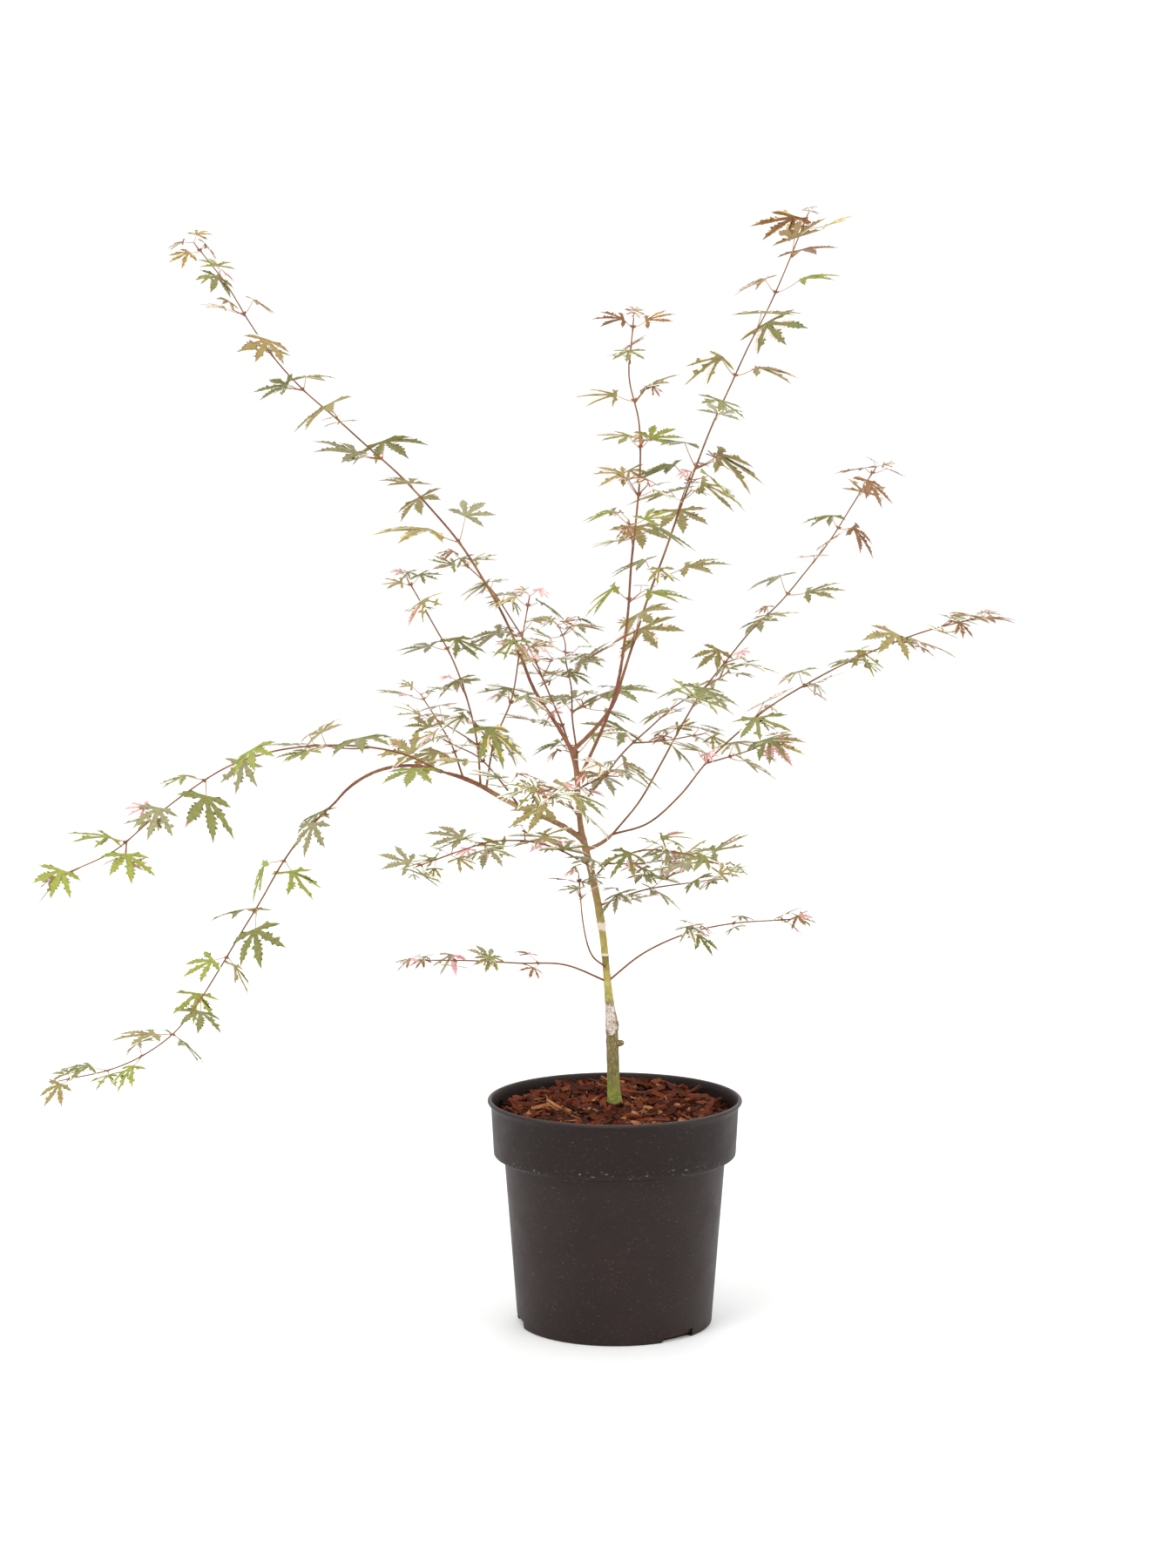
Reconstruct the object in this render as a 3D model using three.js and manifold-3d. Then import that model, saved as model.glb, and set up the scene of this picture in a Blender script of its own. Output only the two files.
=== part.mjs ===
// A young Japanese maple with cream-edged leaves, grafted low on its stem, in a round nursery pot.
// Millimetres, +Z up. The origin is the centre of the pot's flat underside.
import * as THREE from 'three';
import { mergeVertices } from 'three/addons/utils/BufferGeometryUtils.js';
import Module from 'manifold-3d';

const wasm = await Module();
wasm.setup();

// ---- driving sizes: pot and fill ----
const CLEAR = 0.3;                    // gap kept between neighbouring pieces
const POT_HEIGHT = 170;
const POT_RIM_RADIUS = 95;            // over the lip
const POT_COLLAR_RADIUS = 90.5;       // under the collar
const POT_COLLAR_FROM = 128;          // height where the collar steps out
const POT_BODY_TOP_RADIUS = 82.5;
const POT_FOOT_RADIUS = 73;
const POT_WALL = 1.8;
const POT_FLOOR = 2.5;
const POT_SIDES = 40;
const NOTCH_HEADINGS = [-50, 70, 190]; // where the drain notches in the bottom edge are
const NOTCH = { width: 29, height: 6.5, depth: 9, reach: 2.5 };
const COMPOST_TOP = 148;
const MULCH_WALL_TOP = 157.5;         // mulch height at the wall
const MULCH_TOP = 165;                // mulch height round the stem
const MULCH_FALL = 1.6;               // how late the mulch falls away towards the wall
const HEAP = { height: 6.5, from: 15, over: 55, halfWidth: 82 }; // mulch thrown up at the back
const CHIPS = 26;
const CHIP_LENGTH = [11, 18];
const CHIP_WIDTH = [5.5, 9];
const CHIP_THICK = [2, 3.6];
const CHIP_TILT = { roll: 24, pitch: 20 };
const CHIP_LIFT = [0.2, 1.4];
const GOLDEN_TURN = 2.39996;          // spreads the chips evenly

// ---- driving sizes: leaves ----
const LOBE_SPREAD = 36;               // angle from the middle lobe to its neighbour
const BASE_LOBE_SPREAD = 88;          // angle from the middle lobe to the lowest pair
const NEIGHBOUR_LOBE = 0.9;           // lobe lengths as a share of the middle lobe
const BASE_LOBE = 0.56;
const NOTCH_REACH = 0.2;              // how far out the cuts between the lobes start
const SHOULDER_AT = 0.5;              // where a lobe is widest
const LOBE_HALF_WIDTH = 0.1;          // half a lobe's width as a share of its length
const SHOULDER_SAG = 0.25;            // sag there, as a share of the sag at the tip
const BLADE_THICK = 0.9;              // through the middle of a leaf
const STALK_SEAT = { back: 0.7, aside: 0.55 }; // where the blade's edge meets the stalk
const STALK_RADIUS = 0.42;
const LEAF_TRIES = 6;                 // a leaf that would touch something is swung aside this often
const LEAF_CLEAR = 2.6;               // clearance kept between the lines of two leaves
const STALK_CLEAR = 1;
const POT_CLEAR = { radius: 101, height: 176 };
const LEAF = {
  stalk: [0.36, 0.6],                 // stalk length as a share of the middle lobe
  lean: [46, 66],                     // degrees the stalk leans away from its stem
  lift: [-0.05, 0.3],                 // how strongly the stalk turns upwards
  hang: [-28, 30],                    // degrees the blade points below the level
  tired: { above: 0.8, hang: 24 },    // one leaf in five hangs further
  falling: 35,                        // and so do the leaves of a stem that falls straight down
  bank: [-32, 32],                    // degrees the blade is rolled about its middle lobe
  size: [0.76, 1.24],
  droop: [0.02, 0.22],                // sag of the lobe tips as a share of their length
  swing: { first: 8, more: 13 },      // degrees aside, at the first try and for each further one
  yield: { hang: 2, size: 0.03 },     // what each further try adds to the hang and takes off the size
};

// ---- limbs ----
// from: the limb it springs from; at: height on the trunk, or share of the parent's length.
// heading: degrees round from +X; rises: degrees above level at even steps along the limb.
const TRUNK = {
  foot: [-0.6, 0, MULCH_TOP + CLEAR], heading: 180, length: 268,
  rises: [88, 89, 88, 84, 85, 84, 80, 78, 75, 85, 88, 73],
  girth: [[0, 6.1], [0.02, 5.2], [0.08, 4.7], [0.19, 4.6], [0.23, 4.7], [0.27, 3.7], [0.34, 2.9],
    [0.41, 2.6], [0.49, 2.7], [0.51, 3.2], [0.54, 3.0], [0.66, 2.7], [0.75, 2.6], [0.8, 2.1], [1, 2.1]],
  steps: 24,
};
const BOUGHS = {
  bough_left: {
    from: 'trunk', at: 364.4, heading: 190, length: 118,
    rises: [38, 22, 32, 14], girth: [2.1, 1.6],
  },
  bough_right: {
    from: 'trunk', at: 357, heading: 0, length: 23,
    rises: [15, 30, 45], girth: [1.5, 1.3],
  },
  bough_right_leader: {
    from: 'trunk', at: 430.5, heading: 30, length: 68,
    rises: [34, 46, 76], girth: [1.6, 1.2],
  },
  bough_left_leader: {
    from: 'trunk', at: 430.5, heading: 155, length: 75,
    rises: [58, 52, 71], girth: [1.5, 1.2],
  },
  bough_middle_leader: {
    from: 'trunk', at: 408, heading: -50, length: 109,
    rises: [53, 58, 78], girth: [1.3, 1.1],
  },
  bough_left_weeping: {
    from: 'bough_left', at: 1, heading: 160, length: 95,
    rises: [17, -17, -51], girth: [1.3, 1.1],
  },
};

// ---- foliage: each entry is one stem with its side twigs and leaves ----
// bare: how far the first leaves stand from the stem's start.
// gaps: space between leaf pairs at start and tip; lobes: middle lobe length at start and tip.
// twigs: which leaf pairs bear a side twig.
const FOLIAGE = {
  foliage_right_leader: {
    from: 'bough_right_leader', at: 1, heading: 30, length: 370, rises: [71, 67, 67, 62, 59, 67],
    bare: 30, gaps: [50, 29], lobes: [45, 37], twigs: [2], twigLength: 44,
  },
  foliage_middle_leader: {
    from: 'bough_middle_leader', at: 1, heading: -50, length: 239, rises: [76, 85, 79, 88, 109, 68],
    bare: 40, gaps: [44, 25], lobes: [39, 26], twigs: [1], twigLength: 38,
  },
  foliage_left_leader: {
    from: 'bough_left_leader', at: 1, heading: 155, length: 415, rises: [67, 56, 44, 37, 38, 57, 47],
    bare: 104, gaps: [50, 33], lobes: [45, 27], twigs: [], twigLength: 44,
  },
  foliage_left_arch: {
    from: 'bough_left', at: 1, heading: 205, length: 306, rises: [32, 8, -5, -27, -40, -16],
    bare: 14, gaps: [48, 31], lobes: [37, 29], twigs: [1], twigLength: 38,
  },
  foliage_left_weeping: {
    from: 'bough_left_weeping', at: 1, heading: 160, length: 329, rises: [-37, -58, -57, -56, -29, -10],
    bare: 14, gaps: [50, 28], lobes: [34, 27], twigs: [], twigLength: 40,
  },
  foliage_right_upper: {
    from: 'bough_right', at: 1, heading: 35, length: 360, rises: [40, 58, 46, 37, 47, 54],
    bare: 118, gaps: [48, 30], lobes: [37, 26], twigs: [], twigLength: 40,
  },
  foliage_right_lower: {
    from: 'bough_right', at: 1, heading: -35, length: 349, rises: [8, 50, 39, 28, 22, 13],
    bare: 104, gaps: [60, 33], lobes: [36, 27], twigs: [0], twigLength: 38,
  },
  foliage_low_left: {
    from: 'trunk', at: 257.9, heading: 195, length: 141, rises: [34, 5, 5, 3],
    bare: 56, gaps: [36, 24], lobes: [22, 18], twigs: [], twigLength: 30,
  },
  foliage_low_right: {
    from: 'trunk', at: 257.9, heading: -15, length: 144, rises: [46, 28, 13, 2],
    bare: 72, gaps: [42, 27], lobes: [21, 19], twigs: [], twigLength: 30,
  },
  foliage_inner_right: {
    from: 'trunk', at: 314.8, heading: -25, length: 82, rises: [29, 13, 10],
    bare: 18, gaps: [30, 22], lobes: [31, 26], twigs: [], twigLength: 34,
  },
  foliage_upright_outer: {
    from: 'bough_left', at: 0.74, heading: 150, length: 160, rises: [89, 74, 58, 53],
    bare: 30, gaps: [42, 26], lobes: [34, 25], twigs: [0], twigLength: 34,
  },
  foliage_upright_inner: {
    from: 'bough_left', at: 0.7, heading: 20, length: 138, rises: [89, 64, 82, 77],
    bare: 30, gaps: [40, 26], lobes: [36, 26], twigs: [0], twigLength: 34,
  },
  foliage_inner_left_front: {
    from: 'bough_left', at: 0.46, heading: 236, length: 100, rises: [48, 34, 16],
    bare: 26, gaps: [36, 26], lobes: [35, 28], twigs: [0], twigLength: 34,
  },
  foliage_inner_left_back: {
    from: 'bough_left', at: 0.86, heading: 112, length: 105, rises: [40, 30, 14],
    bare: 26, gaps: [38, 26], lobes: [36, 28], twigs: [], twigLength: 34,
  },
  foliage_front: {
    from: 'trunk', at: 380, heading: 262, length: 185, rises: [24, 18, 8, 2],
    bare: 30, gaps: [48, 30], lobes: [37, 28], twigs: [1], twigLength: 40,
  },
  foliage_back: {
    from: 'trunk', at: 400, heading: 95, length: 205, rises: [50, 42, 26, 12],
    bare: 34, gaps: [46, 29], lobes: [38, 28], twigs: [1], twigLength: 42,
  },
  foliage_front_left: {
    from: 'trunk', at: 345, heading: 228, length: 180, rises: [30, 14, -4, -12],
    bare: 30, gaps: [48, 30], lobes: [37, 28], twigs: [1], twigLength: 40,
  },
  foliage_back_left: {
    from: 'trunk', at: 418, heading: 128, length: 200, rises: [62, 54, 42, 26],
    bare: 34, gaps: [45, 29], lobes: [38, 28], twigs: [1], twigLength: 42,
  },
  foliage_front_right: {
    from: 'trunk', at: 335, heading: -58, length: 165, rises: [38, 16, 2, -4],
    bare: 28, gaps: [46, 28], lobes: [36, 27], twigs: [0], twigLength: 38,
  },
  foliage_back_right: {
    from: 'trunk', at: 388, heading: 52, length: 200, rises: [38, 30, 20, 14],
    bare: 36, gaps: [46, 29], lobes: [38, 28], twigs: [1], twigLength: 42,
  },
  foliage_beside_stem: {
    from: 'trunk', at: 268.5, heading: 250, length: 97, rises: [15, 52, 90],
    bare: 84, gaps: [24, 20], lobes: [24, 22], twigs: [], twigLength: 30,
  },
};
const STEM_GIRTH = [1.2, 0.8];        // radius of a foliage stem where it starts and at its tip
const TWIG_GIRTH = [0.95, 0.8];
const STEM_SWAY = 3;                  // degrees a stem wanders from side to side between leaf pairs
const TWIG_SPLAY = 52;                // degrees a side twig leaves its stem by
const TWIG_SPLAY_SPREAD = 8;
const TWIG_LENGTH_SPREAD = [0.85, 1.15];
const TWIG_PAIR_GAP = 24;             // space between leaf pairs on a side twig
const TWIG_BARE = 14;                 // length of a side twig's foot with no leaves
const TWIG_CLEAR = 5;
const TWIG_LEAF_SHARE = 0.9;          // leaves on side twigs and at tips, as a share of the others
const TIP_INSET = 1.5;                // how far the last pair stands from the stem's end
const CROWDED = 14;                   // limbs that start closer than this are cut clear of one another
const LIMB_SIDES = 8;
const STEM_SIDES = 3;
const STEP = { bough: 14, stem: 34 }; // length of the straight steps of a centre line
const TWIG_STEPS = 3;
// Each leaf and twig has its own seed: its stem's number, its pair and its side of the pair.
const SEED = { chips: 71, stem: 1000, pair: 10, twig: 500, twigLeaf: 20000, tip: 900 };

const UP = new THREE.Vector3(0, 0, 1);
const point = (x, y, z) => new THREE.Vector3(x, y, z);
const radians = THREE.MathUtils.degToRad;
const mix = THREE.MathUtils.lerp;

// A repeatable run of even chances: dice(seed)(low, high).
function dice(seed) {
  let state = (seed * 7919 + 12345) % 4294967296;
  const roll = (low, high) => {
    state = (state * 1664525 + 1013904223) % 4294967296;
    return low + (high - low) * state / 4294967296;
  };
  roll(0, 1);
  roll(0, 1);
  return roll;
}

// ---- closed solids ----
function closedSolid(corners, faces) {
  let volume = 0;
  for (const [a, b, c] of faces) volume += corners[a].dot(corners[b].clone().cross(corners[c]));
  const facing = volume < 0 ? faces.map(([a, b, c]) => [a, c, b]) : faces;
  return new wasm.Manifold(new wasm.Mesh({
    numProp: 3,
    vertProperties: Float32Array.from(corners.flatMap((p) => [p.x, p.y, p.z])),
    triVerts: Uint32Array.from(facing.flat()),
  }));
}

function solidOf(geometry) {
  geometry.deleteAttribute('normal');
  geometry.deleteAttribute('uv');
  const merged = mergeVertices(geometry, 1e-4);
  const place = merged.attributes.position;
  const corners = [];
  for (let i = 0; i < place.count; i++) corners.push(new THREE.Vector3().fromBufferAttribute(place, i));
  const faces = [];
  for (let i = 0; i < merged.index.count; i += 3) {
    const [a, b, c] = [0, 1, 2].map((k) => merged.index.getX(i + k));
    if (a !== b && b !== c && c !== a) faces.push([a, b, c]);
  }
  return closedSolid(corners, faces);
}

// Keeps the largest body, so that no loose scrap of a cut is left.
function largest(solid) {
  const bodies = solid.decompose();
  return bodies.reduce((best, body) => (body.volume() > best.volume() ? body : best));
}

function meshFrom(name, solid, look) {
  const { vertProperties, triVerts } = largest(solid).getMesh();
  const geometry = new THREE.BufferGeometry();
  geometry.setAttribute('position', new THREE.BufferAttribute(new Float32Array(vertProperties), 3));
  geometry.setIndex(new THREE.BufferAttribute(new Uint32Array(triVerts), 1));
  geometry.computeVertexNormals();
  const mesh = new THREE.Mesh(geometry, new THREE.MeshStandardMaterial(look));
  mesh.name = name;
  return mesh;
}

const LOOKS = {
  pot: { color: 0x1e1f22, roughness: 0.55, metalness: 0 },
  compost: { color: 0x2b1d15, roughness: 0.95, metalness: 0 },
  mulch: { color: 0x6a3524, roughness: 0.9, metalness: 0 },
  bark: { color: 0x7d7a3c, roughness: 0.7, metalness: 0 },
  bough: { color: 0x7a5138, roughness: 0.65, metalness: 0 },
  leaf: { color: 0x7c8455, roughness: 0.6, metalness: 0 },
};

// ---- pot, compost and mulch ----
function turned(profile, sides, raise = null) {
  const shape = new THREE.LatheGeometry(profile.map(([r, z]) => new THREE.Vector2(r, z)), sides);
  shape.rotateX(Math.PI / 2);
  const place = shape.attributes.position;
  for (let i = 0; raise && i < place.count; i++) {
    place.setZ(i, raise(place.getX(i), place.getY(i), place.getZ(i)));
  }
  return solidOf(shape);
}

function potSolid() {
  const outside = [
    [0, 0], [POT_FOOT_RADIUS - 1.5, 0], [POT_FOOT_RADIUS, 1.5], [POT_BODY_TOP_RADIUS, POT_COLLAR_FROM - 4],
    [POT_BODY_TOP_RADIUS + 1.6, POT_COLLAR_FROM - 1.2], [POT_COLLAR_RADIUS - 1.4, POT_COLLAR_FROM - 0.2],
    [POT_COLLAR_RADIUS, POT_COLLAR_FROM + 1.4], [POT_RIM_RADIUS - 2.6, POT_HEIGHT - 6],
    [POT_RIM_RADIUS - 0.5, POT_HEIGHT - 3.4], [POT_RIM_RADIUS, POT_HEIGHT - 1.8],
    [POT_RIM_RADIUS - 0.8, POT_HEIGHT],
  ];
  const inside = [
    [POT_RIM_RADIUS - 2.6, POT_HEIGHT], [POT_RIM_RADIUS - 2.6 - POT_WALL, POT_HEIGHT - 6],
    [POT_COLLAR_RADIUS - POT_WALL, POT_COLLAR_FROM + 3],
    [POT_BODY_TOP_RADIUS - POT_WALL, POT_COLLAR_FROM - 1.4],
    [POT_FOOT_RADIUS - POT_WALL, POT_FLOOR], [0, POT_FLOOR],
  ];
  let pot = turned([...outside, ...inside], POT_SIDES);
  for (const heading of NOTCH_HEADINGS) {
    const cut = new THREE.BoxGeometry(NOTCH.depth, NOTCH.width, 2 * NOTCH.height);
    cut.translate(POT_FOOT_RADIUS - NOTCH.depth / 2 + NOTCH.reach, 0, 0);
    cut.rotateZ(radians(heading));
    pot = pot.subtract(solidOf(cut));
  }
  return pot;
}

// The radius that a filling may have at a height.
function innerRadius(height) {
  const up = (height - POT_FLOOR) / (POT_COLLAR_FROM - 1.4 - POT_FLOOR);
  const outer = height < POT_COLLAR_FROM ? mix(POT_FOOT_RADIUS, POT_BODY_TOP_RADIUS, up) : POT_COLLAR_RADIUS;
  return outer - POT_WALL - 2 * CLEAR;
}

function compostSolid() {
  const low = POT_FLOOR + CLEAR;
  const shoulder = POT_COLLAR_FROM - 3;
  return turned([[0, low], [innerRadius(low), low], [innerRadius(shoulder), shoulder],
    [innerRadius(shoulder), POT_COLLAR_FROM + 3], [innerRadius(COMPOST_TOP), POT_COLLAR_FROM + 6],
    [innerRadius(COMPOST_TOP), COMPOST_TOP], [0, COMPOST_TOP]], POT_SIDES);
}

// The heap falls towards the wall and is thrown up a little at the back.
function mulchHeight(x, y) {
  const share = Math.min(1, Math.hypot(x, y) / innerRadius(COMPOST_TOP));
  const behind = THREE.MathUtils.clamp((y - HEAP.from) / HEAP.over, 0, 1);
  const between = Math.max(0, 1 - (x / HEAP.halfWidth) ** 2);
  return mix(MULCH_TOP, MULCH_WALL_TOP, share ** MULCH_FALL) + HEAP.height * behind * between;
}

function mulchSolid() {
  const wall = innerRadius(COMPOST_TOP);
  const low = COMPOST_TOP + CLEAR;
  const top = [wall, 66, 40, 14, 0].map((radius) => [radius, MULCH_WALL_TOP]);
  const raise = (x, y, z) => (z > low + CLEAR ? Math.min(MULCH_TOP - 0.1, mulchHeight(x, y)) : z);
  let mulch = turned([[0, low], [wall, low], ...top], POT_SIDES / 2, raise);
  const roll = dice(SEED.chips);
  for (let i = 0; i < CHIPS; i++) {
    const length = roll(...CHIP_LENGTH);
    const radius = mix(16, wall - length / 2 - 2, Math.sqrt((i + 0.5) / CHIPS));
    const [x, y] = [radius * Math.cos(i * GOLDEN_TURN), radius * Math.sin(i * GOLDEN_TURN)];
    const chip = new THREE.BoxGeometry(length, roll(...CHIP_WIDTH), roll(...CHIP_THICK));
    chip.rotateX(radians(roll(-CHIP_TILT.roll, CHIP_TILT.roll)));
    chip.rotateY(radians(roll(-CHIP_TILT.pitch, CHIP_TILT.pitch)));
    chip.rotateZ(roll(0, Math.PI));
    chip.translate(x, y, mulchHeight(x, y) + roll(...CHIP_LIFT));
    mulch = mulch.add(solidOf(chip));
  }
  return mulch;
}

// ---- limbs ----
const evenly = (list, share) => {
  const spot = Math.min(1, Math.max(0, share)) * (list.length - 1);
  const low = Math.min(list.length - 2, Math.floor(spot));
  return mix(list[low], list[low + 1], spot - low);
};

// A limb's centre line, walked in even steps from its start.
function course(start, { heading, length, rises, sway = 0 }, steps) {
  const line = [start.clone()];
  for (let i = 0; i < steps; i++) {
    const rise = radians(evenly(rises, (i + 0.5) / steps));
    const turn = radians(heading + (i % 2 ? sway : -sway));
    const step = point(Math.cos(rise) * Math.cos(turn), Math.cos(rise) * Math.sin(turn), Math.sin(rise));
    line.push(line.at(-1).clone().addScaledVector(step, length / steps));
  }
  return line;
}

// Place and direction at a share of a centre line's length.
function spotOn(line, share) {
  const spot = Math.min(0.999999, Math.max(0, share)) * (line.length - 1);
  const low = Math.floor(spot);
  const direction = line[low + 1].clone().sub(line[low]).normalize();
  return { place: line[low].clone().lerp(line[low + 1], spot - low), direction };
}

const girthAt = (girth, share) => {
  if (!Array.isArray(girth[0])) return mix(girth[0], girth[1], share);
  const next = girth.findIndex(([at]) => at >= share);
  if (next <= 0) return girth[0][1];
  const [a, b] = [girth[next - 1], girth[next]];
  return mix(a[1], b[1], (share - a[0]) / (b[0] - a[0]));
};

// A many-sided limb round its centre line. grow swells it on every side and at both ends.
function limbSolid(line, girth, sides, grow = 0) {
  const corners = [];
  const faces = [];
  let across = null;
  line.forEach((spot, i) => {
    const ahead = line[Math.min(i + 1, line.length - 1)].clone().sub(line[Math.max(i - 1, 0)]).normalize();
    across = across ?? (Math.abs(ahead.z) > 0.9 ? point(1, 0, 0) : UP.clone());
    across = across.clone().addScaledVector(ahead, -ahead.dot(across)).normalize();
    const beside = ahead.clone().cross(across);
    const radius = girthAt(girth, i / (line.length - 1)) + grow / Math.cos(Math.PI / sides);
    const end = i === 0 ? -grow : i === line.length - 1 ? grow : 0;
    for (let k = 0; k < sides; k++) {
      const turn = (2 * Math.PI * k) / sides;
      corners.push(spot.clone().addScaledVector(ahead, end)
        .addScaledVector(across, radius * Math.cos(turn)).addScaledVector(beside, radius * Math.sin(turn)));
    }
  });
  const last = (line.length - 1) * sides;
  for (let i = 0; i < last; i += sides) {
    for (let k = 0; k < sides; k++) {
      const [a, b] = [i + k, i + ((k + 1) % sides)];
      faces.push([a, b, b + sides], [a, b + sides, a + sides]);
    }
  }
  for (let k = 2; k < sides; k++) faces.push([0, k, k - 1], [last, last + k - 1, last + k]);
  return closedSolid(corners, faces);
}

// ---- what is already standing, as lines with a thickness, so that new growth keeps clear ----
const standing = [];
const occupy = (a, b, girth, owner) => {
  standing.push({ line: new THREE.Line3(a.clone(), b.clone()), girth, owner });
};
const occupyLine = (line, girth, owner) => {
  line.slice(1).forEach((b, i) => occupy(line[i], b, girthAt(girth, i / (line.length - 1)), owner));
};

function isClear(a, b, distance, skip) {
  const probe = new THREE.Line3(a, b);
  for (const end of [a, b]) {
    if (Math.hypot(end.x, end.y) < POT_CLEAR.radius && end.z < POT_CLEAR.height) return false;
  }
  const middle = a.clone().add(b).multiplyScalar(0.5);
  const half = a.distanceTo(b) / 2;
  for (const other of standing) {
    if (skip(other)) continue;
    const keep = distance + other.girth;
    const centre = other.line.getCenter(point(0, 0, 0));
    if (centre.distanceTo(middle) > half + other.line.distance() / 2 + keep) continue;
    if (probe.distanceSqToLine3(other.line) < keep * keep) return false;
  }
  return true;
}

// ---- leaves ----
// frame: place of the stalk's end, pointing (along the middle lobe), side and face (upper side).
function leafOutline(frame, lobe, droop) {
  const at = (degrees, share, sag) => frame.place.clone()
    .addScaledVector(frame.pointing, lobe * share * Math.cos(radians(degrees)))
    .addScaledVector(frame.side, lobe * share * Math.sin(radians(degrees)))
    .addScaledVector(frame.face, -lobe * sag * droop);
  const wideLobe = (degrees, share) => {
    const spread = THREE.MathUtils.radToDeg(Math.atan(LOBE_HALF_WIDTH / SHOULDER_AT));
    return [at(degrees - spread, share * SHOULDER_AT, share * SHOULDER_SAG), at(degrees, share, share),
      at(degrees + spread, share * SHOULDER_AT, share * SHOULDER_SAG)];
  };
  const cut = (degrees) => at(degrees, NOTCH_REACH, 0);
  const stalkSide = (sign) => frame.place.clone()
    .addScaledVector(frame.pointing, -STALK_SEAT.back).addScaledVector(frame.side, sign * STALK_SEAT.aside);
  const between = (BASE_LOBE_SPREAD + LOBE_SPREAD) / 2;
  return [
    stalkSide(-1), at(-BASE_LOBE_SPREAD, BASE_LOBE, BASE_LOBE), cut(-between),
    ...wideLobe(-LOBE_SPREAD, NEIGHBOUR_LOBE), cut(-LOBE_SPREAD / 2),
    ...wideLobe(0, 1), cut(LOBE_SPREAD / 2),
    ...wideLobe(LOBE_SPREAD, NEIGHBOUR_LOBE), cut(between),
    at(BASE_LOBE_SPREAD, BASE_LOBE, BASE_LOBE), stalkSide(1),
  ];
}

// The lines a leaf is tested by: down its lobes and along their edges.
const WIDE_TIPS = [4, 8, 12];         // outline corners at the tips of the three wide lobes
const BASE_TIPS = [1, 15];            // and at the tips of the lowest pair
function leafLines(frame, outline) {
  const lines = [...WIDE_TIPS, ...BASE_TIPS].map((tip) => [frame.place, outline[tip]]);
  for (const tip of WIDE_TIPS) {
    for (const shoulder of [tip - 1, tip + 1]) {
      lines.push([frame.place, outline[shoulder]], [outline[shoulder], outline[tip]]);
    }
  }
  return lines;
}

function leafSolid(root, frame, outline) {
  const top = frame.place.clone().addScaledVector(frame.face, BLADE_THICK / 2);
  const under = frame.place.clone().addScaledVector(frame.face, -BLADE_THICK / 2);
  const stalk = frame.place.clone().sub(root).normalize();
  const wide = frame.side.clone().addScaledVector(stalk, -stalk.dot(frame.side)).normalize();
  const deep = stalk.clone().cross(wide);
  if (deep.dot(frame.face) < 0) deep.negate();
  const foot = (across, up) => root.clone()
    .addScaledVector(wide, across * STALK_RADIUS).addScaledVector(deep, up * STALK_RADIUS);
  const corners = [...outline, top, under, foot(0.87, 0.5), foot(-0.87, 0.5), foot(0, -1)];
  const n = outline.length;
  const [T, B, L, R, U] = [n, n + 1, n + 2, n + 3, n + 4];
  const faces = [[T, n - 1, 0]];
  for (let i = 0; i < n - 1; i++) faces.push([T, i, i + 1], [B, i + 1, i]);
  faces.push([0, n - 1, L], [0, L, R], [n - 1, B, U], [n - 1, U, L], [B, 0, R], [B, R, U], [R, L, U]);
  return closedSolid(corners, faces);
}

// One leaf on a stem: its stalk leans outward, its blade lies nearly level and points away from the stem.
function growLeaf({ place: root, direction: along, outward, lobe, own, seed }, owner) {
  const roll = dice(seed);
  for (let attempt = 0; attempt < LEAF_TRIES; attempt++) {
    const swing = radians(roll(-1, 1) * (LEAF.swing.first + LEAF.swing.more * attempt));
    const stalkLength = lobe * roll(...LEAF.stalk);
    const lean = radians(roll(...LEAF.lean));
    const out = outward.clone().applyAxisAngle(along, swing);
    const stalk = along.clone().multiplyScalar(Math.cos(lean)).addScaledVector(out, Math.sin(lean))
      .addScaledVector(UP, roll(...LEAF.lift)).normalize();
    const place = root.clone().addScaledVector(stalk, stalkLength);
    const level = point(stalk.x + out.x * 0.4, stalk.y + out.y * 0.4, 0);
    if (level.length() < 0.2) level.set(roll(-1, 1), roll(-1, 1), 0);
    level.normalize();
    const tired = (hang) => hang + (roll(0, 1) > LEAF.tired.above ? LEAF.tired.hang : 0);
    const falling = Math.max(0, -along.z) * LEAF.falling;
    const hang = radians(tired(roll(...LEAF.hang)) + falling + attempt * LEAF.yield.hang);
    const pointing = level.multiplyScalar(Math.cos(hang)).addScaledVector(UP, -Math.sin(hang));
    const bank = radians(roll(...LEAF.bank));
    const side = UP.clone().cross(pointing).normalize().applyAxisAngle(pointing, bank);
    const frame = { place, pointing, side, face: pointing.clone().cross(side) };
    const size = lobe * roll(...LEAF.size) * (1 - LEAF.yield.size * attempt);
    const outline = leafOutline(frame, size, roll(...LEAF.droop));
    const lines = leafLines(frame, outline);
    if (!lines.every(([a, b]) => isClear(a, b, LEAF_CLEAR, () => false))) continue;
    const isOwn = (other) => other.owner === own;
    if (!isClear(root.clone().lerp(place, 0.3), place, STALK_RADIUS + STALK_CLEAR, isOwn)) continue;
    lines.forEach(([a, b]) => occupy(a, b, 0, owner));
    occupy(root, place, STALK_RADIUS, own);
    return leafSolid(root, frame, outline);
  }
  return null;
}

// Leaf pairs stand crosswise on a rising stem and are drawn towards the level on a lying one.
function pairDirection(along, count) {
  const level = UP.clone().cross(along);
  if (level.length() < 0.05) level.set(0, 1, 0);
  level.normalize();
  const steep = Math.abs(along.z) ** 2;
  const turn = (count % 2 ? 1 : -1) * mix(20, 45, steep);
  return level.applyAxisAngle(along, radians(turn));
}

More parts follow.
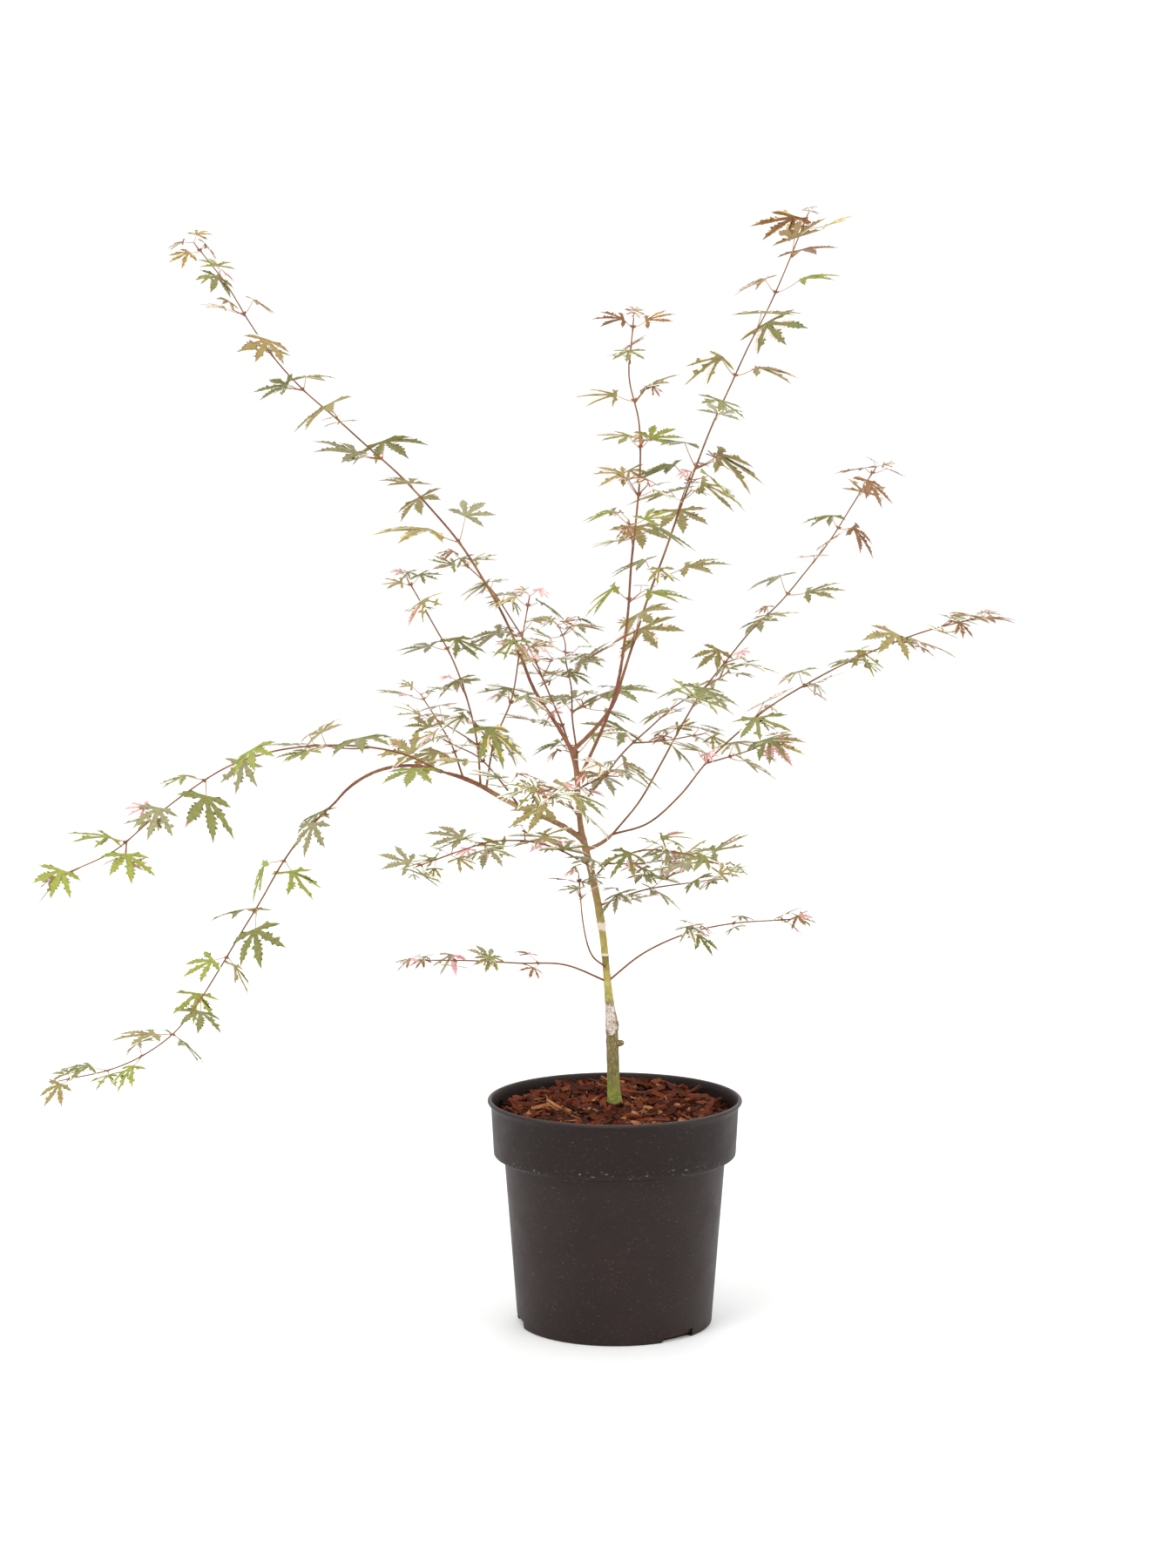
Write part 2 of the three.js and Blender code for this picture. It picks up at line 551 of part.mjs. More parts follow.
// Shares of a stem's length where its leaf pairs stand, closing up towards the tip.
function pairSpots(length, bare, gaps) {
  const spots = [];
  let at = bare;
  while (at < length - gaps[1] * 0.6) {
    spots.push(at / length);
    at += mix(gaps[0], gaps[1], at / length);
  }
  return spots;
}

// A side twig's centre line, or null where it would touch a limb.
function growTwig(name, place, direction, outward, usualLength, seed) {
  const roll = dice(seed + SEED.twig);
  const splay = radians(TWIG_SPLAY + roll(-TWIG_SPLAY_SPREAD, TWIG_SPLAY_SPREAD));
  const away = direction.clone().multiplyScalar(Math.cos(splay)).addScaledVector(outward, Math.sin(splay));
  const rise = THREE.MathUtils.radToDeg(Math.asin(away.z));
  const heading = THREE.MathUtils.radToDeg(Math.atan2(away.y, away.x));
  const length = usualLength * roll(...TWIG_LENGTH_SPREAD);
  const line = course(place, { heading, length, rises: [rise, rise * 0.7 + 6, rise * 0.5 + 12] }, TWIG_STEPS);
  const fits = line.slice(1).every((b, i) => {
    const a = i ? line[i] : line[0].clone().lerp(b, 0.4);
    return isClear(a, b, TWIG_CLEAR, (other) => other.owner === name);
  });
  return fits ? { line, length } : null;
}

// Where a side twig's leaves stand, in pairs from its tip down.
function twigSites({ line, length }, lobe, own, seed) {
  const sites = [];
  for (let at = length - 1, step = 0; at > TWIG_BARE; at -= TWIG_PAIR_GAP, step++) {
    const spot = spotOn(line, at / length);
    const pair = pairDirection(spot.direction, step);
    for (const half of [1, -1]) {
      const outward = pair.clone().multiplyScalar(half);
      sites.push({ ...spot, outward, lobe, own, seed: seed + SEED.twigLeaf + step * 2 + (half + 1) / 2 });
    }
  }
  return sites;
}

// ---- putting the plant together ----
const group = new THREE.Group();
const trunkLine = course(point(...TRUNK.foot), TRUNK, TRUNK.steps);
const centreLines = { trunk: trunkLine };
const swollen = { trunk: limbSolid(trunkLine, TRUNK.girth, LIMB_SIDES, CLEAR) };
occupyLine(trunkLine, TRUNK.girth, 'trunk');

function startOf({ from, at }) {
  if (from !== 'trunk') return spotOn(centreLines[from], at).place;
  const above = trunkLine.findIndex(({ z }) => z >= at);
  const [low, high] = [trunkLine[above - 1], trunkLine[above]];
  return low.clone().lerp(high, (at - low.z) / (high.z - low.z));
}

const distanceToLine = (spot, line) => Math.min(...line.slice(1).map((b, i) => new THREE.Line3(line[i], b)
  .closestPointToPoint(spot, true, point(0, 0, 0)).distanceTo(spot)));

// A limb round its centre line, cut clear of the earlier limbs that spring from nearly the same place.
function seatedLimb(name, line, girth, sides) {
  let solid = limbSolid(line, girth, sides);
  for (const [other, otherLine] of Object.entries(centreLines)) {
    if (distanceToLine(line[0], otherLine) < CROWDED) solid = solid.subtract(swollen[other]);
  }
  centreLines[name] = line;
  swollen[name] = limbSolid(line, girth, sides, CLEAR);
  occupyLine(line, girth, name);
  return largest(solid);
}

group.add(meshFrom('pot', potSolid(), LOOKS.pot));
group.add(meshFrom('compost', compostSolid(), LOOKS.compost));
group.add(meshFrom('bark_mulch', mulchSolid(), LOOKS.mulch));
group.add(meshFrom('trunk', limbSolid(trunkLine, TRUNK.girth, LIMB_SIDES), LOOKS.bark));

for (const [name, bough] of Object.entries(BOUGHS)) {
  const line = course(startOf(bough), bough, Math.max(3, Math.round(bough.length / STEP.bough)));
  group.add(meshFrom(name, seatedLimb(name, line, bough.girth, LIMB_SIDES), LOOKS.bough));
}

// Stems first, then side twigs, then leaves, so that everything keeps clear of the wood.
const growing = Object.entries(FOLIAGE).map(([name, plan], index) => {
  const line = course(startOf(plan), { ...plan, sway: STEM_SWAY }, Math.round(plan.length / STEP.stem));
  return { name, plan, index, line, solid: seatedLimb(name, line, STEM_GIRTH, STEM_SIDES), sites: [] };
});

for (const mass of growing) {
  const { plan, line, name, index } = mass;
  const spots = pairSpots(plan.length, plan.bare, plan.gaps);
  spots.forEach((share, count) => {
    const { place, direction } = spotOn(line, share);
    const across = pairDirection(direction, count);
    const lobe = mix(plan.lobes[0], plan.lobes[1], share);
    for (const sign of [1, -1]) {
      const outward = across.clone().multiplyScalar(sign);
      const seed = index * SEED.stem + count * SEED.pair + (sign + 1) / 2;
      const bearsTwig = plan.twigs.includes(count) && (sign > 0) === (index % 2 > 0 === (count % 4 > 1));
      const twig = bearsTwig ? growTwig(name, place, direction, outward, plan.twigLength, seed) : null;
      if (twig) {
        const own = `${name}_twig${count}`;
        mass.solid = mass.solid.add(limbSolid(twig.line, TWIG_GIRTH, STEM_SIDES));
        occupyLine(twig.line, TWIG_GIRTH, own);
        mass.sites.push(...twigSites(twig, lobe * TWIG_LEAF_SHARE, own, seed));
      } else {
        mass.sites.push({ place, direction, outward, lobe, own: name, seed });
      }
    }
  });
  const tip = spotOn(line, 1 - TIP_INSET / plan.length);
  const pair = pairDirection(tip.direction, spots.length);
  for (const half of [1, -1]) {
    const outward = pair.clone().multiplyScalar(half);
    const seed = index * SEED.stem + SEED.tip + half;
    mass.sites.push({ ...tip, outward, lobe: plan.lobes[1] * TWIG_LEAF_SHARE, own: name, seed });
  }
}

for (const mass of growing) {
  for (const site of mass.sites) {
    const leaf = growLeaf(site, mass.name);
    if (leaf) mass.solid = mass.solid.add(leaf);
  }
  group.add(meshFrom(mass.name, mass.solid, LOOKS.leaf));
}

export default group;
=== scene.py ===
"""A young grafted Japanese maple with cream-edged leaves, in a black nursery pot with bark mulch.

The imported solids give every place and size. The plant is grown again here by the same seeded rule that
set out its stems, side twigs and leaves, then carried on to young leaves, buds and finer twigs.
Growth is worked out in millimetres and made in metres.
"""
import bpy
import math
import numpy as np
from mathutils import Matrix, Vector, noise


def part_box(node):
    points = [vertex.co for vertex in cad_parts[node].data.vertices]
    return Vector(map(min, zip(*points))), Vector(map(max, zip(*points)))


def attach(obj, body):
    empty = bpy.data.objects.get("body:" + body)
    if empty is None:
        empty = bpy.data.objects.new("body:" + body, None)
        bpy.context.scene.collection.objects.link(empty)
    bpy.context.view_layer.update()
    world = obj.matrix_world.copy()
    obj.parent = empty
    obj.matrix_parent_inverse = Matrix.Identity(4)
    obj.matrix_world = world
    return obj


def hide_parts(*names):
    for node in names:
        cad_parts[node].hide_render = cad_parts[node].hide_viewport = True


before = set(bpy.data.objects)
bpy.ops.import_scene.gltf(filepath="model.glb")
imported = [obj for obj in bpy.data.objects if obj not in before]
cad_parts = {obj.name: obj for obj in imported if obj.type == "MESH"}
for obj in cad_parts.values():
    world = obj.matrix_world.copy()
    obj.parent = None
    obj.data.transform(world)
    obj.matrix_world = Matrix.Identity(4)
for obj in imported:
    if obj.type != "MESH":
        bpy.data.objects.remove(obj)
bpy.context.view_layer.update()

MM = 0.001
UP = np.array([0.0, 0.0, 1.0])


# ---------------------------------------------------------------- sizes shared with the solids
def node_box(name):
    """A node's lowest and highest corners in millimetres."""
    low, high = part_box(name)
    return np.array(low) / MM, np.array(high) / MM


POT_HIGH = node_box("pot")[1]
MULCH_LOW, MULCH_HIGH = node_box("bark_mulch")
TRUNK_LOW = node_box("trunk")[0]

PLAY = 0.3                           # how far the solids stand clear of one another
POT_HEIGHT = POT_HIGH[2]
RIM_RADIUS = POT_HIGH[0]
COLLAR_RADIUS = 90.5
COLLAR_FROM = 128.0
BODY_TOP_RADIUS = 82.5
FOOT_RADIUS = 73.0
LIP_DEPTH = 2.4
WALL = 1.8
FLOOR = 2.5
NOTCH_HEADINGS = (-50, 70, 190)      # where the drain notches are, round the foot
NOTCH_SIZE = (9.0, 29.0, 6.5)        # depth, width and height of a drain notch
MULCH_TOP = TRUNK_LOW[2] - PLAY      # beside the stem; at the wall it lies lower
MULCH_WALL_TOP = 157.5
MULCH_RADIUS = MULCH_HIGH[0]
MULCH_HEAP = 6.5                     # how much higher the chips lie at the back
BED_RINGS = 22

LOBE_SPREAD = 36.0                   # angle from the middle lobe to its neighbour
BASE_LOBE_SPREAD = 88.0              # angle from the middle lobe to the lowest pair
NEIGHBOUR_LOBE = 0.9                 # these lobes' reach against the middle one's
BASE_LOBE = 0.56
SHOULDER_AT = 0.5                    # where a plain lobe is widest, as a share of its length
LOBE_HALF_WIDTH = 0.1
LEAF_SIZE = (0.76, 1.24)             # a leaf's size against the one due at its place
LEAF_DROOP = (0.02, 0.22)            # how far its lobes sag, as a share of its size
LEAF_HANG = (-28, 30)                # how far the blade dips, in degrees
LIMP_SHARE, LIMP_HANG = 0.2, 24      # limp leaves, and how much further they dip
FALLING_HANG = 35                    # how much further a blade dips on a stem that hangs straight down
LEAF_TILT = 32                       # how far it tilts sideways, in degrees
STALK_SHARE = (0.36, 0.6)            # a stalk's length as a share of its leaf's
STALK_LEAN = (46, 66)                # its angle off the stem, in degrees
STALK_RADIUS = 0.42
LEAF_TRIES = 6
SWING, SWING_MORE = 8, 13            # a leaf's free swing, and what each further try adds, in degrees
LEAF_CLEAR = 2.6                     # how far a leaf keeps from all that stands
TWIG_CLEAR = 5.0
POT_CLEAR_RADIUS = 101.0
POT_CLEAR_HEIGHT = 176.0

TRUNK = dict(
    foot=(-0.6, 0.0, TRUNK_LOW[2]), heading=180.0, length=268.0, steps=24,
    rises=(88, 89, 88, 84, 85, 84, 80, 78, 75, 85, 88, 73),
    girth=((0, 6.1), (0.02, 5.2), (0.08, 4.7), (0.19, 4.6), (0.23, 4.7), (0.27, 3.7), (0.34, 2.9),
           (0.41, 2.6), (0.49, 2.7), (0.51, 3.2), (0.54, 3.0), (0.66, 2.7), (0.75, 2.6), (0.8, 2.1),
           (1, 2.1)),
)


def bough(start, at, heading, length, rises, girth):
    return dict(start=start, at=at, heading=heading, length=length, rises=rises, girth=girth)


BOUGHS = {
    "bough_left": bough("trunk", 364.4, 190, 118, (38, 22, 32, 14), (2.1, 1.6)),
    "bough_right": bough("trunk", 357, 0, 23, (15, 30, 45), (1.5, 1.3)),
    "bough_right_leader": bough("trunk", 430.5, 30, 68, (34, 46, 76), (1.6, 1.2)),
    "bough_left_leader": bough("trunk", 430.5, 155, 75, (58, 52, 71), (1.5, 1.2)),
    "bough_middle_leader": bough("trunk", 408, -50, 109, (53, 58, 78), (1.3, 1.1)),
    "bough_left_weeping": bough("bough_left", 1, 160, 95, (17, -17, -51), (1.3, 1.1)),
}


def stem(start, at, heading, length, rises, bare, gaps, lobes, twigs=(), twig_length=40):
    return dict(start=start, at=at, heading=heading, length=length, rises=rises, bare=bare, gaps=gaps,
                lobes=lobes, twigs=twigs, twig_length=twig_length)


FOLIAGE = {
    "foliage_right_leader": stem("bough_right_leader", 1, 30, 370, (71, 67, 67, 62, 59, 67),
                                 30, (50, 29), (45, 37), (2,), 44),
    "foliage_middle_leader": stem("bough_middle_leader", 1, -50, 239, (76, 85, 79, 88, 109, 68),
                                  40, (44, 25), (39, 26), (1,), 38),
    "foliage_left_leader": stem("bough_left_leader", 1, 155, 415, (67, 56, 44, 37, 38, 57, 47),
                                104, (50, 33), (45, 27)),
    "foliage_left_arch": stem("bough_left", 1, 205, 306, (32, 8, -5, -27, -40, -16),
                              14, (48, 31), (37, 29), (1,), 38),
    "foliage_left_weeping": stem("bough_left_weeping", 1, 160, 329, (-37, -58, -57, -56, -29, -10),
                                 14, (50, 28), (34, 27)),
    "foliage_right_upper": stem("bough_right", 1, 35, 360, (40, 58, 46, 37, 47, 54),
                                118, (48, 30), (37, 26)),
    "foliage_right_lower": stem("bough_right", 1, -35, 349, (8, 50, 39, 28, 22, 13),
                                104, (60, 33), (36, 27), (0,), 38),
    "foliage_low_left": stem("trunk", 257.9, 195, 141, (34, 5, 5, 3),
                             56, (36, 24), (22, 18)),
    "foliage_low_right": stem("trunk", 257.9, -15, 144, (46, 28, 13, 2),
                              72, (42, 27), (21, 19)),
    "foliage_inner_right": stem("trunk", 314.8, -25, 82, (29, 13, 10),
                                18, (30, 22), (31, 26)),
    "foliage_upright_outer": stem("bough_left", 0.74, 150, 160, (89, 74, 58, 53),
                                  30, (42, 26), (34, 25), (0,), 34),
    "foliage_upright_inner": stem("bough_left", 0.7, 20, 138, (89, 64, 82, 77),
                                  30, (40, 26), (36, 26), (0,), 34),
    "foliage_inner_left_front": stem("bough_left", 0.46, 236, 100, (48, 34, 16),
                                     26, (36, 26), (35, 28), (0,), 34),
    "foliage_inner_left_back": stem("bough_left", 0.86, 112, 105, (40, 30, 14),
                                    26, (38, 26), (36, 28)),
    "foliage_front": stem("trunk", 380, 262, 185, (24, 18, 8, 2),
                          30, (48, 30), (37, 28), (1,), 40),
    "foliage_back": stem("trunk", 400, 95, 205, (50, 42, 26, 12),
                         34, (46, 29), (38, 28), (1,), 42),
    "foliage_front_left": stem("trunk", 345, 228, 180, (30, 14, -4, -12),
                               30, (48, 30), (37, 28), (1,), 40),
    "foliage_back_left": stem("trunk", 418, 128, 200, (62, 54, 42, 26),
                              34, (45, 29), (38, 28), (1,), 42),
    "foliage_front_right": stem("trunk", 335, -58, 165, (38, 16, 2, -4),
                                28, (46, 28), (36, 27), (0,), 38),
    "foliage_back_right": stem("trunk", 388, 52, 200, (38, 30, 20, 14),
                               36, (46, 29), (38, 28), (1,), 42),
    "foliage_beside_stem": stem("trunk", 268.5, 250, 97, (15, 52, 90),
                                84, (24, 20), (24, 22)),
}
STEM_GIRTH = (1.2, 0.8)
TWIG_GIRTH = (0.95, 0.8)
BOUGH_STEP, STEM_STEP = 14, 34       # about how long the straight steps of a centre line are
STEM_SWAY = 3.0                      # how far a stem turns from step to step, in degrees
TWIG_SPLAY = 52.0                    # a side twig's angle off its stem, in degrees
TWIG_BARE = 14.0                     # how much of a side twig bears no leaves, from its foot
TWIG_PAIR_GAP = 24.0
END_LOBE = 0.9                       # leaves on side twigs and at tips, against their neighbours on the stem


# ---------------------------------------------------------------- the growing rule
def mix(low, high, share):
    return low + (high - low) * share


DICE_SPAN = 2 ** 32


def dice(seed):
    """A repeatable run of even chances: dice(seed)(low, high)."""
    state = (seed * 7919 + 12345) % DICE_SPAN

    def roll(low, high):
        nonlocal state
        state = (state * 1664525 + 1013904223) % DICE_SPAN
        return low + (high - low) * state / DICE_SPAN

    roll(0, 1)
    roll(0, 1)
    return roll


def one_of(options, roll):
    return options[int(roll(0, len(options) - 0.001))]


def unit(vector):
    return vector / np.linalg.norm(vector)


def turned(vector, axis, angle):
    """A vector turned about an axis by an angle in radians."""
    along = axis * np.dot(axis, vector)
    return along + (vector - along) * math.cos(angle) + np.cross(axis, vector) * math.sin(angle)


def evenly(values, share):
    """The value at a share of the way along evenly spaced values."""
    spot = min(1.0, max(0.0, share)) * (len(values) - 1)
    low = min(len(values) - 2, int(spot))
    return mix(values[low], values[low + 1], spot - low)


def headed(heading, rise):
    """The direction with a heading and a rise in radians."""
    return np.array([math.cos(rise) * math.cos(heading), math.cos(rise) * math.sin(heading), math.sin(rise)])


def course(start, heading, length, rises, steps, sway=0.0):
    """A limb's centre line, walked in even steps from its start."""
    line = [np.array(start, float)]
    for i in range(steps):
        rise = math.radians(evenly(rises, (i + 0.5) / steps))
        turn = math.radians(heading + (sway if i % 2 else -sway))
        line.append(line[-1] + headed(turn, rise) * length / steps)
    return line


def spot_on(line, share):
    """Place and direction at a share of a centre line's length."""
    spot = min(0.999999, max(0.0, share)) * (len(line) - 1)
    low = int(spot)
    return line[low] + (line[low + 1] - line[low]) * (spot - low), unit(line[low + 1] - line[low])


def on_profile(profile, share):
    """The value at a share on a profile of (share, value) stations."""
    following = next(i for i, (at, _) in enumerate(profile) if at >= share - 1e-9)
    if following == 0:
        return profile[0][1]
    (low, first), (high, second) = profile[following - 1], profile[following]
    return mix(first, second, (share - low) / (high - low))


def girth_at(girth, share):
    return on_profile(girth, share) if isinstance(girth[0], tuple) else mix(girth[0], girth[1], share)


class Standing:
    """What already stands, as lines with a thickness, so that new growth keeps clear."""

    def __init__(self, room=20000):
        self.a = np.zeros((room, 3))
        self.b = np.zeros((room, 3))
        self.girth = np.zeros(room)
        self.owner = np.zeros(room, int)
        self.count = 0
        self.names = {}

    def number(self, name):
        return self.names.setdefault(name, len(self.names) + 1)

    def add(self, a, b, girth, owner):
        self.a[self.count], self.b[self.count] = a, b
        self.girth[self.count], self.owner[self.count] = girth, self.number(owner)
        self.count += 1

    def add_line(self, line, girth, owner):
        for i in range(1, len(line)):
            self.add(line[i - 1], line[i], girth_at(girth, (i - 1) / (len(line) - 1)), owner)

    def clear(self, probes, distance, own=None):
        """Whether every probe line keeps its distance from all that stands, apart from its own stem."""
        a = np.array([p[0] for p in probes])
        b = np.array([p[1] for p in probes])
        ends = np.concatenate([a, b])
        if np.any((np.hypot(ends[:, 0], ends[:, 1]) < POT_CLEAR_RADIUS) & (ends[:, 2] < POT_CLEAR_HEIGHT)):
            return False
        n = self.count
        middle = ends.mean(axis=0)
        reach = np.linalg.norm(ends - middle, axis=1).max()
        centres = (self.a[:n] + self.b[:n]) / 2
        halves = np.linalg.norm(self.b[:n] - self.a[:n], axis=1) / 2
        near = np.linalg.norm(centres - middle, axis=1) < reach + halves + self.girth[:n] + distance
        if own is not None:
            near &= self.owner[:n] != self.number(own)
        if not near.any():
            return True
        c, d, girth = self.a[:n][near], self.b[:n][near], self.girth[:n][near]
        return bool(np.all(line_gaps(a, b, c, d) >= (girth + distance)[None, :]))


def line_gaps(a, b, c, d):
    """The closest distance between each line a-b and each line c-d."""
    u = (b - a)[:, None, :]
    v = (d - c)[None, :, :]
    r = a[:, None, :] - c[None, :, :]
    uu = (u * u).sum(-1)
    vv = (v * v).sum(-1) + 1e-18
    uv = (u * v).sum(-1)
    ur = (u * r).sum(-1)
    vr = (v * r).sum(-1)
    slack = uu * vv - uv * uv
    s = np.clip(np.where(slack > 1e-9, (uv * vr - ur * vv) / np.where(slack > 1e-9, slack, 1), 0), 0, 1)
    t = (uv * s + vr) / vv
    s = np.where(t < 0, np.clip(-ur / uu, 0, 1), np.where(t > 1, np.clip((uv - ur) / uu, 0, 1), s))
    t = np.clip(t, 0, 1)
    return np.linalg.norm(r + u * s[..., None] - v * t[..., None], axis=-1)


def leaf_outline(place, pointing, side, face, lobe, droop):
    """A leaf's three wide lobes, each as shoulder, tip and shoulder, and the tips of its lowest pair."""
    def at(degrees, share, sag):
        angle = math.radians(degrees)
        return (place + pointing * lobe * share * math.cos(angle) + side * lobe * share * math.sin(angle)
                - face * lobe * sag * droop)

    def wide_lobe(degrees, share):
        spread = math.degrees(math.atan(LOBE_HALF_WIDTH / SHOULDER_AT))
        return [at(degrees - spread, share * SHOULDER_AT, share * 0.25), at(degrees, share, share),
                at(degrees + spread, share * SHOULDER_AT, share * 0.25)]

    wide = [wide_lobe(-LOBE_SPREAD, NEIGHBOUR_LOBE), wide_lobe(0, 1), wide_lobe(LOBE_SPREAD, NEIGHBOUR_LOBE)]
    return wide, [at(sign * BASE_LOBE_SPREAD, BASE_LOBE, BASE_LOBE) for sign in (-1, 1)]


def leaf_lines(place, wide, base_tips):
    """The lines a leaf is tested by: down its lobes and along their edges."""
    lines = [(place, lobe[1]) for lobe in wide] + [(place, tip) for tip in base_tips]
    for low, tip, high in wide:
        for shoulder in (low, high):
            lines += [(place, shoulder), (shoulder, tip)]
    return lines


def grow_leaf(standing, root, along, outward, lobe, owner, own, seed, keep=LEAF_CLEAR):
    """One leaf: its stalk leans outward, its blade lies nearly level and points away from the stem."""
    roll = dice(seed)
    for attempt in range(LEAF_TRIES):
        swing = math.radians(roll(-1, 1) * (SWING + SWING_MORE * attempt))
        stalk_length = lobe * roll(*STALK_SHARE)
        lean = math.radians(roll(*STALK_LEAN))
        out = turned(outward, along, swing)
        stalk = unit(along * math.cos(lean) + out * math.sin(lean) + UP * roll(-0.05, 0.3))
        place = root + stalk * stalk_length
        level = np.array([stalk[0] + out[0] * 0.4, stalk[1] + out[1] * 0.4, 0.0])
        if np.linalg.norm(level) < 0.2:
            level = np.array([roll(-1, 1), roll(-1, 1), 0.0])
        level = unit(level)
        hang = roll(*LEAF_HANG) + (LIMP_HANG if roll(0, 1) > 1 - LIMP_SHARE else 0)
        hang = math.radians(hang + max(0.0, -along[2]) * FALLING_HANG + attempt * 2)
        pointing = level * math.cos(hang) - UP * math.sin(hang)
        side = turned(unit(np.cross(UP, pointing)), pointing, math.radians(roll(-LEAF_TILT, LEAF_TILT)))
        face = np.cross(pointing, side)
        size = lobe * roll(*LEAF_SIZE) * (1 - 0.03 * attempt)
        droop = roll(*LEAF_DROOP)
        lines = leaf_lines(place, *leaf_outline(place, pointing, side, face, size, droop))
        if not standing.clear(lines, keep):
            continue
        if not standing.clear([(root + (place - root) * 0.3, place)], STALK_RADIUS + 1, own):
            continue
        for a, b in lines:
            standing.add(a, b, 0, owner)
        standing.add(root, place, STALK_RADIUS, own)
        return dict(root=root, place=place, pointing=pointing, side=side, face=face, size=size, droop=droop,
                    own=own, seed=seed)
    return None


def pair_direction(along, count):
    """Leaf pairs stand crosswise on a rising stem and are drawn towards the level on a lying one."""
    level = np.cross(UP, along)
    if np.linalg.norm(level) < 0.05:
        level = np.array([0.0, 1.0, 0.0])
    turn = (1 if count % 2 else -1) * mix(20, 45, abs(along[2]) ** 2)
    return turned(unit(level), along, math.radians(turn))


def pair_spots(length, bare, gaps):
    """Shares of a stem's length where its leaf pairs stand, closing up towards the tip."""
    spots = []
    at = bare
    while at < length - gaps[1] * 0.6:
        spots.append(at / length)
        at += mix(gaps[0], gaps[1], at / length)
    return spots


def grow_plant():
    """Every limb, stem and twig as a centre line with its girth, and every leaf with its place."""
    standing = Standing()
    limbs = {}

    def start_of(plan):
        """On the trunk at a height, on a bough at a share of its length."""
        if plan["start"] != "trunk":
            return spot_on(limbs[plan["start"]], plan["at"])[0]
        line = limbs["trunk"]
        above = next(i for i, spot in enumerate(line) if spot[2] >= plan["at"])
        low, high = line[above - 1], line[above]
        return low + (high - low) * (plan["at"] - low[2]) / (high[2] - low[2])

    def grow_limb(name, start, plan, steps, girth, sway=0.0):
        limbs[name] = course(start, plan["heading"], plan["length"], plan["rises"], steps, sway)
        standing.add_line(limbs[name], girth, name)

    grow_limb("trunk", TRUNK["foot"], TRUNK, TRUNK["steps"], TRUNK["girth"])
    for name, plan in BOUGHS.items():
        grow_limb(name, start_of(plan), plan, max(3, int(plan["length"] / BOUGH_STEP + 0.5)), plan["girth"])
    for name, plan in FOLIAGE.items():
        grow_limb(name, start_of(plan), plan, int(plan["length"] / STEM_STEP + 0.5), STEM_GIRTH, STEM_SWAY)

    twigs = {}
    sites = []
    for index, (name, plan) in enumerate(FOLIAGE.items()):
        first, last = plan["lobes"]
        spots = pair_spots(plan["length"], plan["bare"], plan["gaps"])
        for count, share in enumerate(spots):
            place, direction = spot_on(limbs[name], share)
            across = pair_direction(direction, count)
            for sign in (1, -1):
                site = dict(place=place, direction=direction, outward=across * sign, mass=name, own=name,
                            lobe=mix(first, last, share), share=share,
                            seed=index * 1000 + count * 10 + (sign + 1) // 2)
                if count in plan["twigs"] and (sign > 0) == ((index % 2 > 0) == (count % 4 > 1)):
                    own = f"{name}_twig{count}"
                    line, twig_sites = grow_twig(standing, own, site, plan["twig_length"])
                    if line:
                        twigs[own] = line
                        sites += twig_sites
                        continue
                sites.append(site)
        place, direction = spot_on(limbs[name], 1 - 1.5 / plan["length"])
        pair = pair_direction(direction, len(spots))
        sites += [dict(place=place, direction=direction, outward=pair * half, mass=name, own=name,
                       lobe=last * END_LOBE, share=1.0, seed=index * 1000 + 900 + half) for half in (1, -1)]

    leaves = []
    for site in sites:
        leaf = grow_leaf(standing, site["place"], site["direction"], site["outward"], site["lobe"],
                         site["mass"], site["own"], site["seed"])
        if leaf:
            leaves.append(dict(leaf, mass=site["mass"], share=site["share"]))
    return limbs, twigs, sites, leaves, standing


def grow_twig(standing, own, site, length):
    """A side twig's centre line and its leaf sites, or nothing where it would touch a limb."""
    place, direction, outward, seed = site["place"], site["direction"], site["outward"], site["seed"]
    roll = dice(seed + 500)
    splay = math.radians(TWIG_SPLAY + roll(-8, 8))
    away = direction * math.cos(splay) + outward * math.sin(splay)
    rise = math.degrees(math.asin(away[2]))
    heading = math.degrees(math.atan2(away[1], away[0]))
    length = length * roll(0.85, 1.15)
    line = course(place, heading, length, (rise, rise * 0.7 + 6, rise * 0.5 + 12), 3)
    for i in range(1, len(line)):
        low = line[i - 1] if i > 1 else line[0] + (line[1] - line[0]) * 0.4
        if not standing.clear([(low, line[i])], TWIG_CLEAR, site["own"]):
            return None, []
    standing.add_line(line, TWIG_GIRTH, own)
    sites = []
    at = length - 1
    step = 0
    while at > TWIG_BARE:
        spot, along = spot_on(line, at / length)
        pair = pair_direction(along, step)
        sites += [dict(site, place=spot, direction=along, outward=pair * half, own=own,
                       lobe=site["lobe"] * END_LOBE, seed=seed + 20000 + step * 2 + (half + 1) // 2)
                  for half in (1, -1)]
        at -= TWIG_PAIR_GAP
        step += 1
    return line, sites


# ---------------------------------------------------------------- making and shaping
def bare_hands():
    """Leave edit mode with nothing selected."""
    if bpy.context.object and bpy.context.object.mode != "OBJECT":
        bpy.ops.object.mode_set(mode="OBJECT")
    bpy.ops.object.select_all(action="DESELECT")


def pick(piece):
    bare_hands()
    piece.select_set(True)
    bpy.context.view_layer.objects.active = piece


def settle(piece, paint, smooth):
    """Fix a finished piece's place in its mesh, dress it and let it ride on the plant."""
    pick(piece)
    bpy.ops.object.transform_apply(location=True, rotation=True, scale=True)
    bpy.ops.object.shade_smooth_by_angle(angle=math.radians(smooth))
    piece.data.name = piece.name
    piece.data.materials.clear()
    piece.data.materials.append(paint)
    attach(piece, "root")


def finish_modifiers(piece):
    pick(piece)
    for modifier in list(piece.modifiers):
        bpy.ops.object.modifier_apply(modifier=modifier.name)


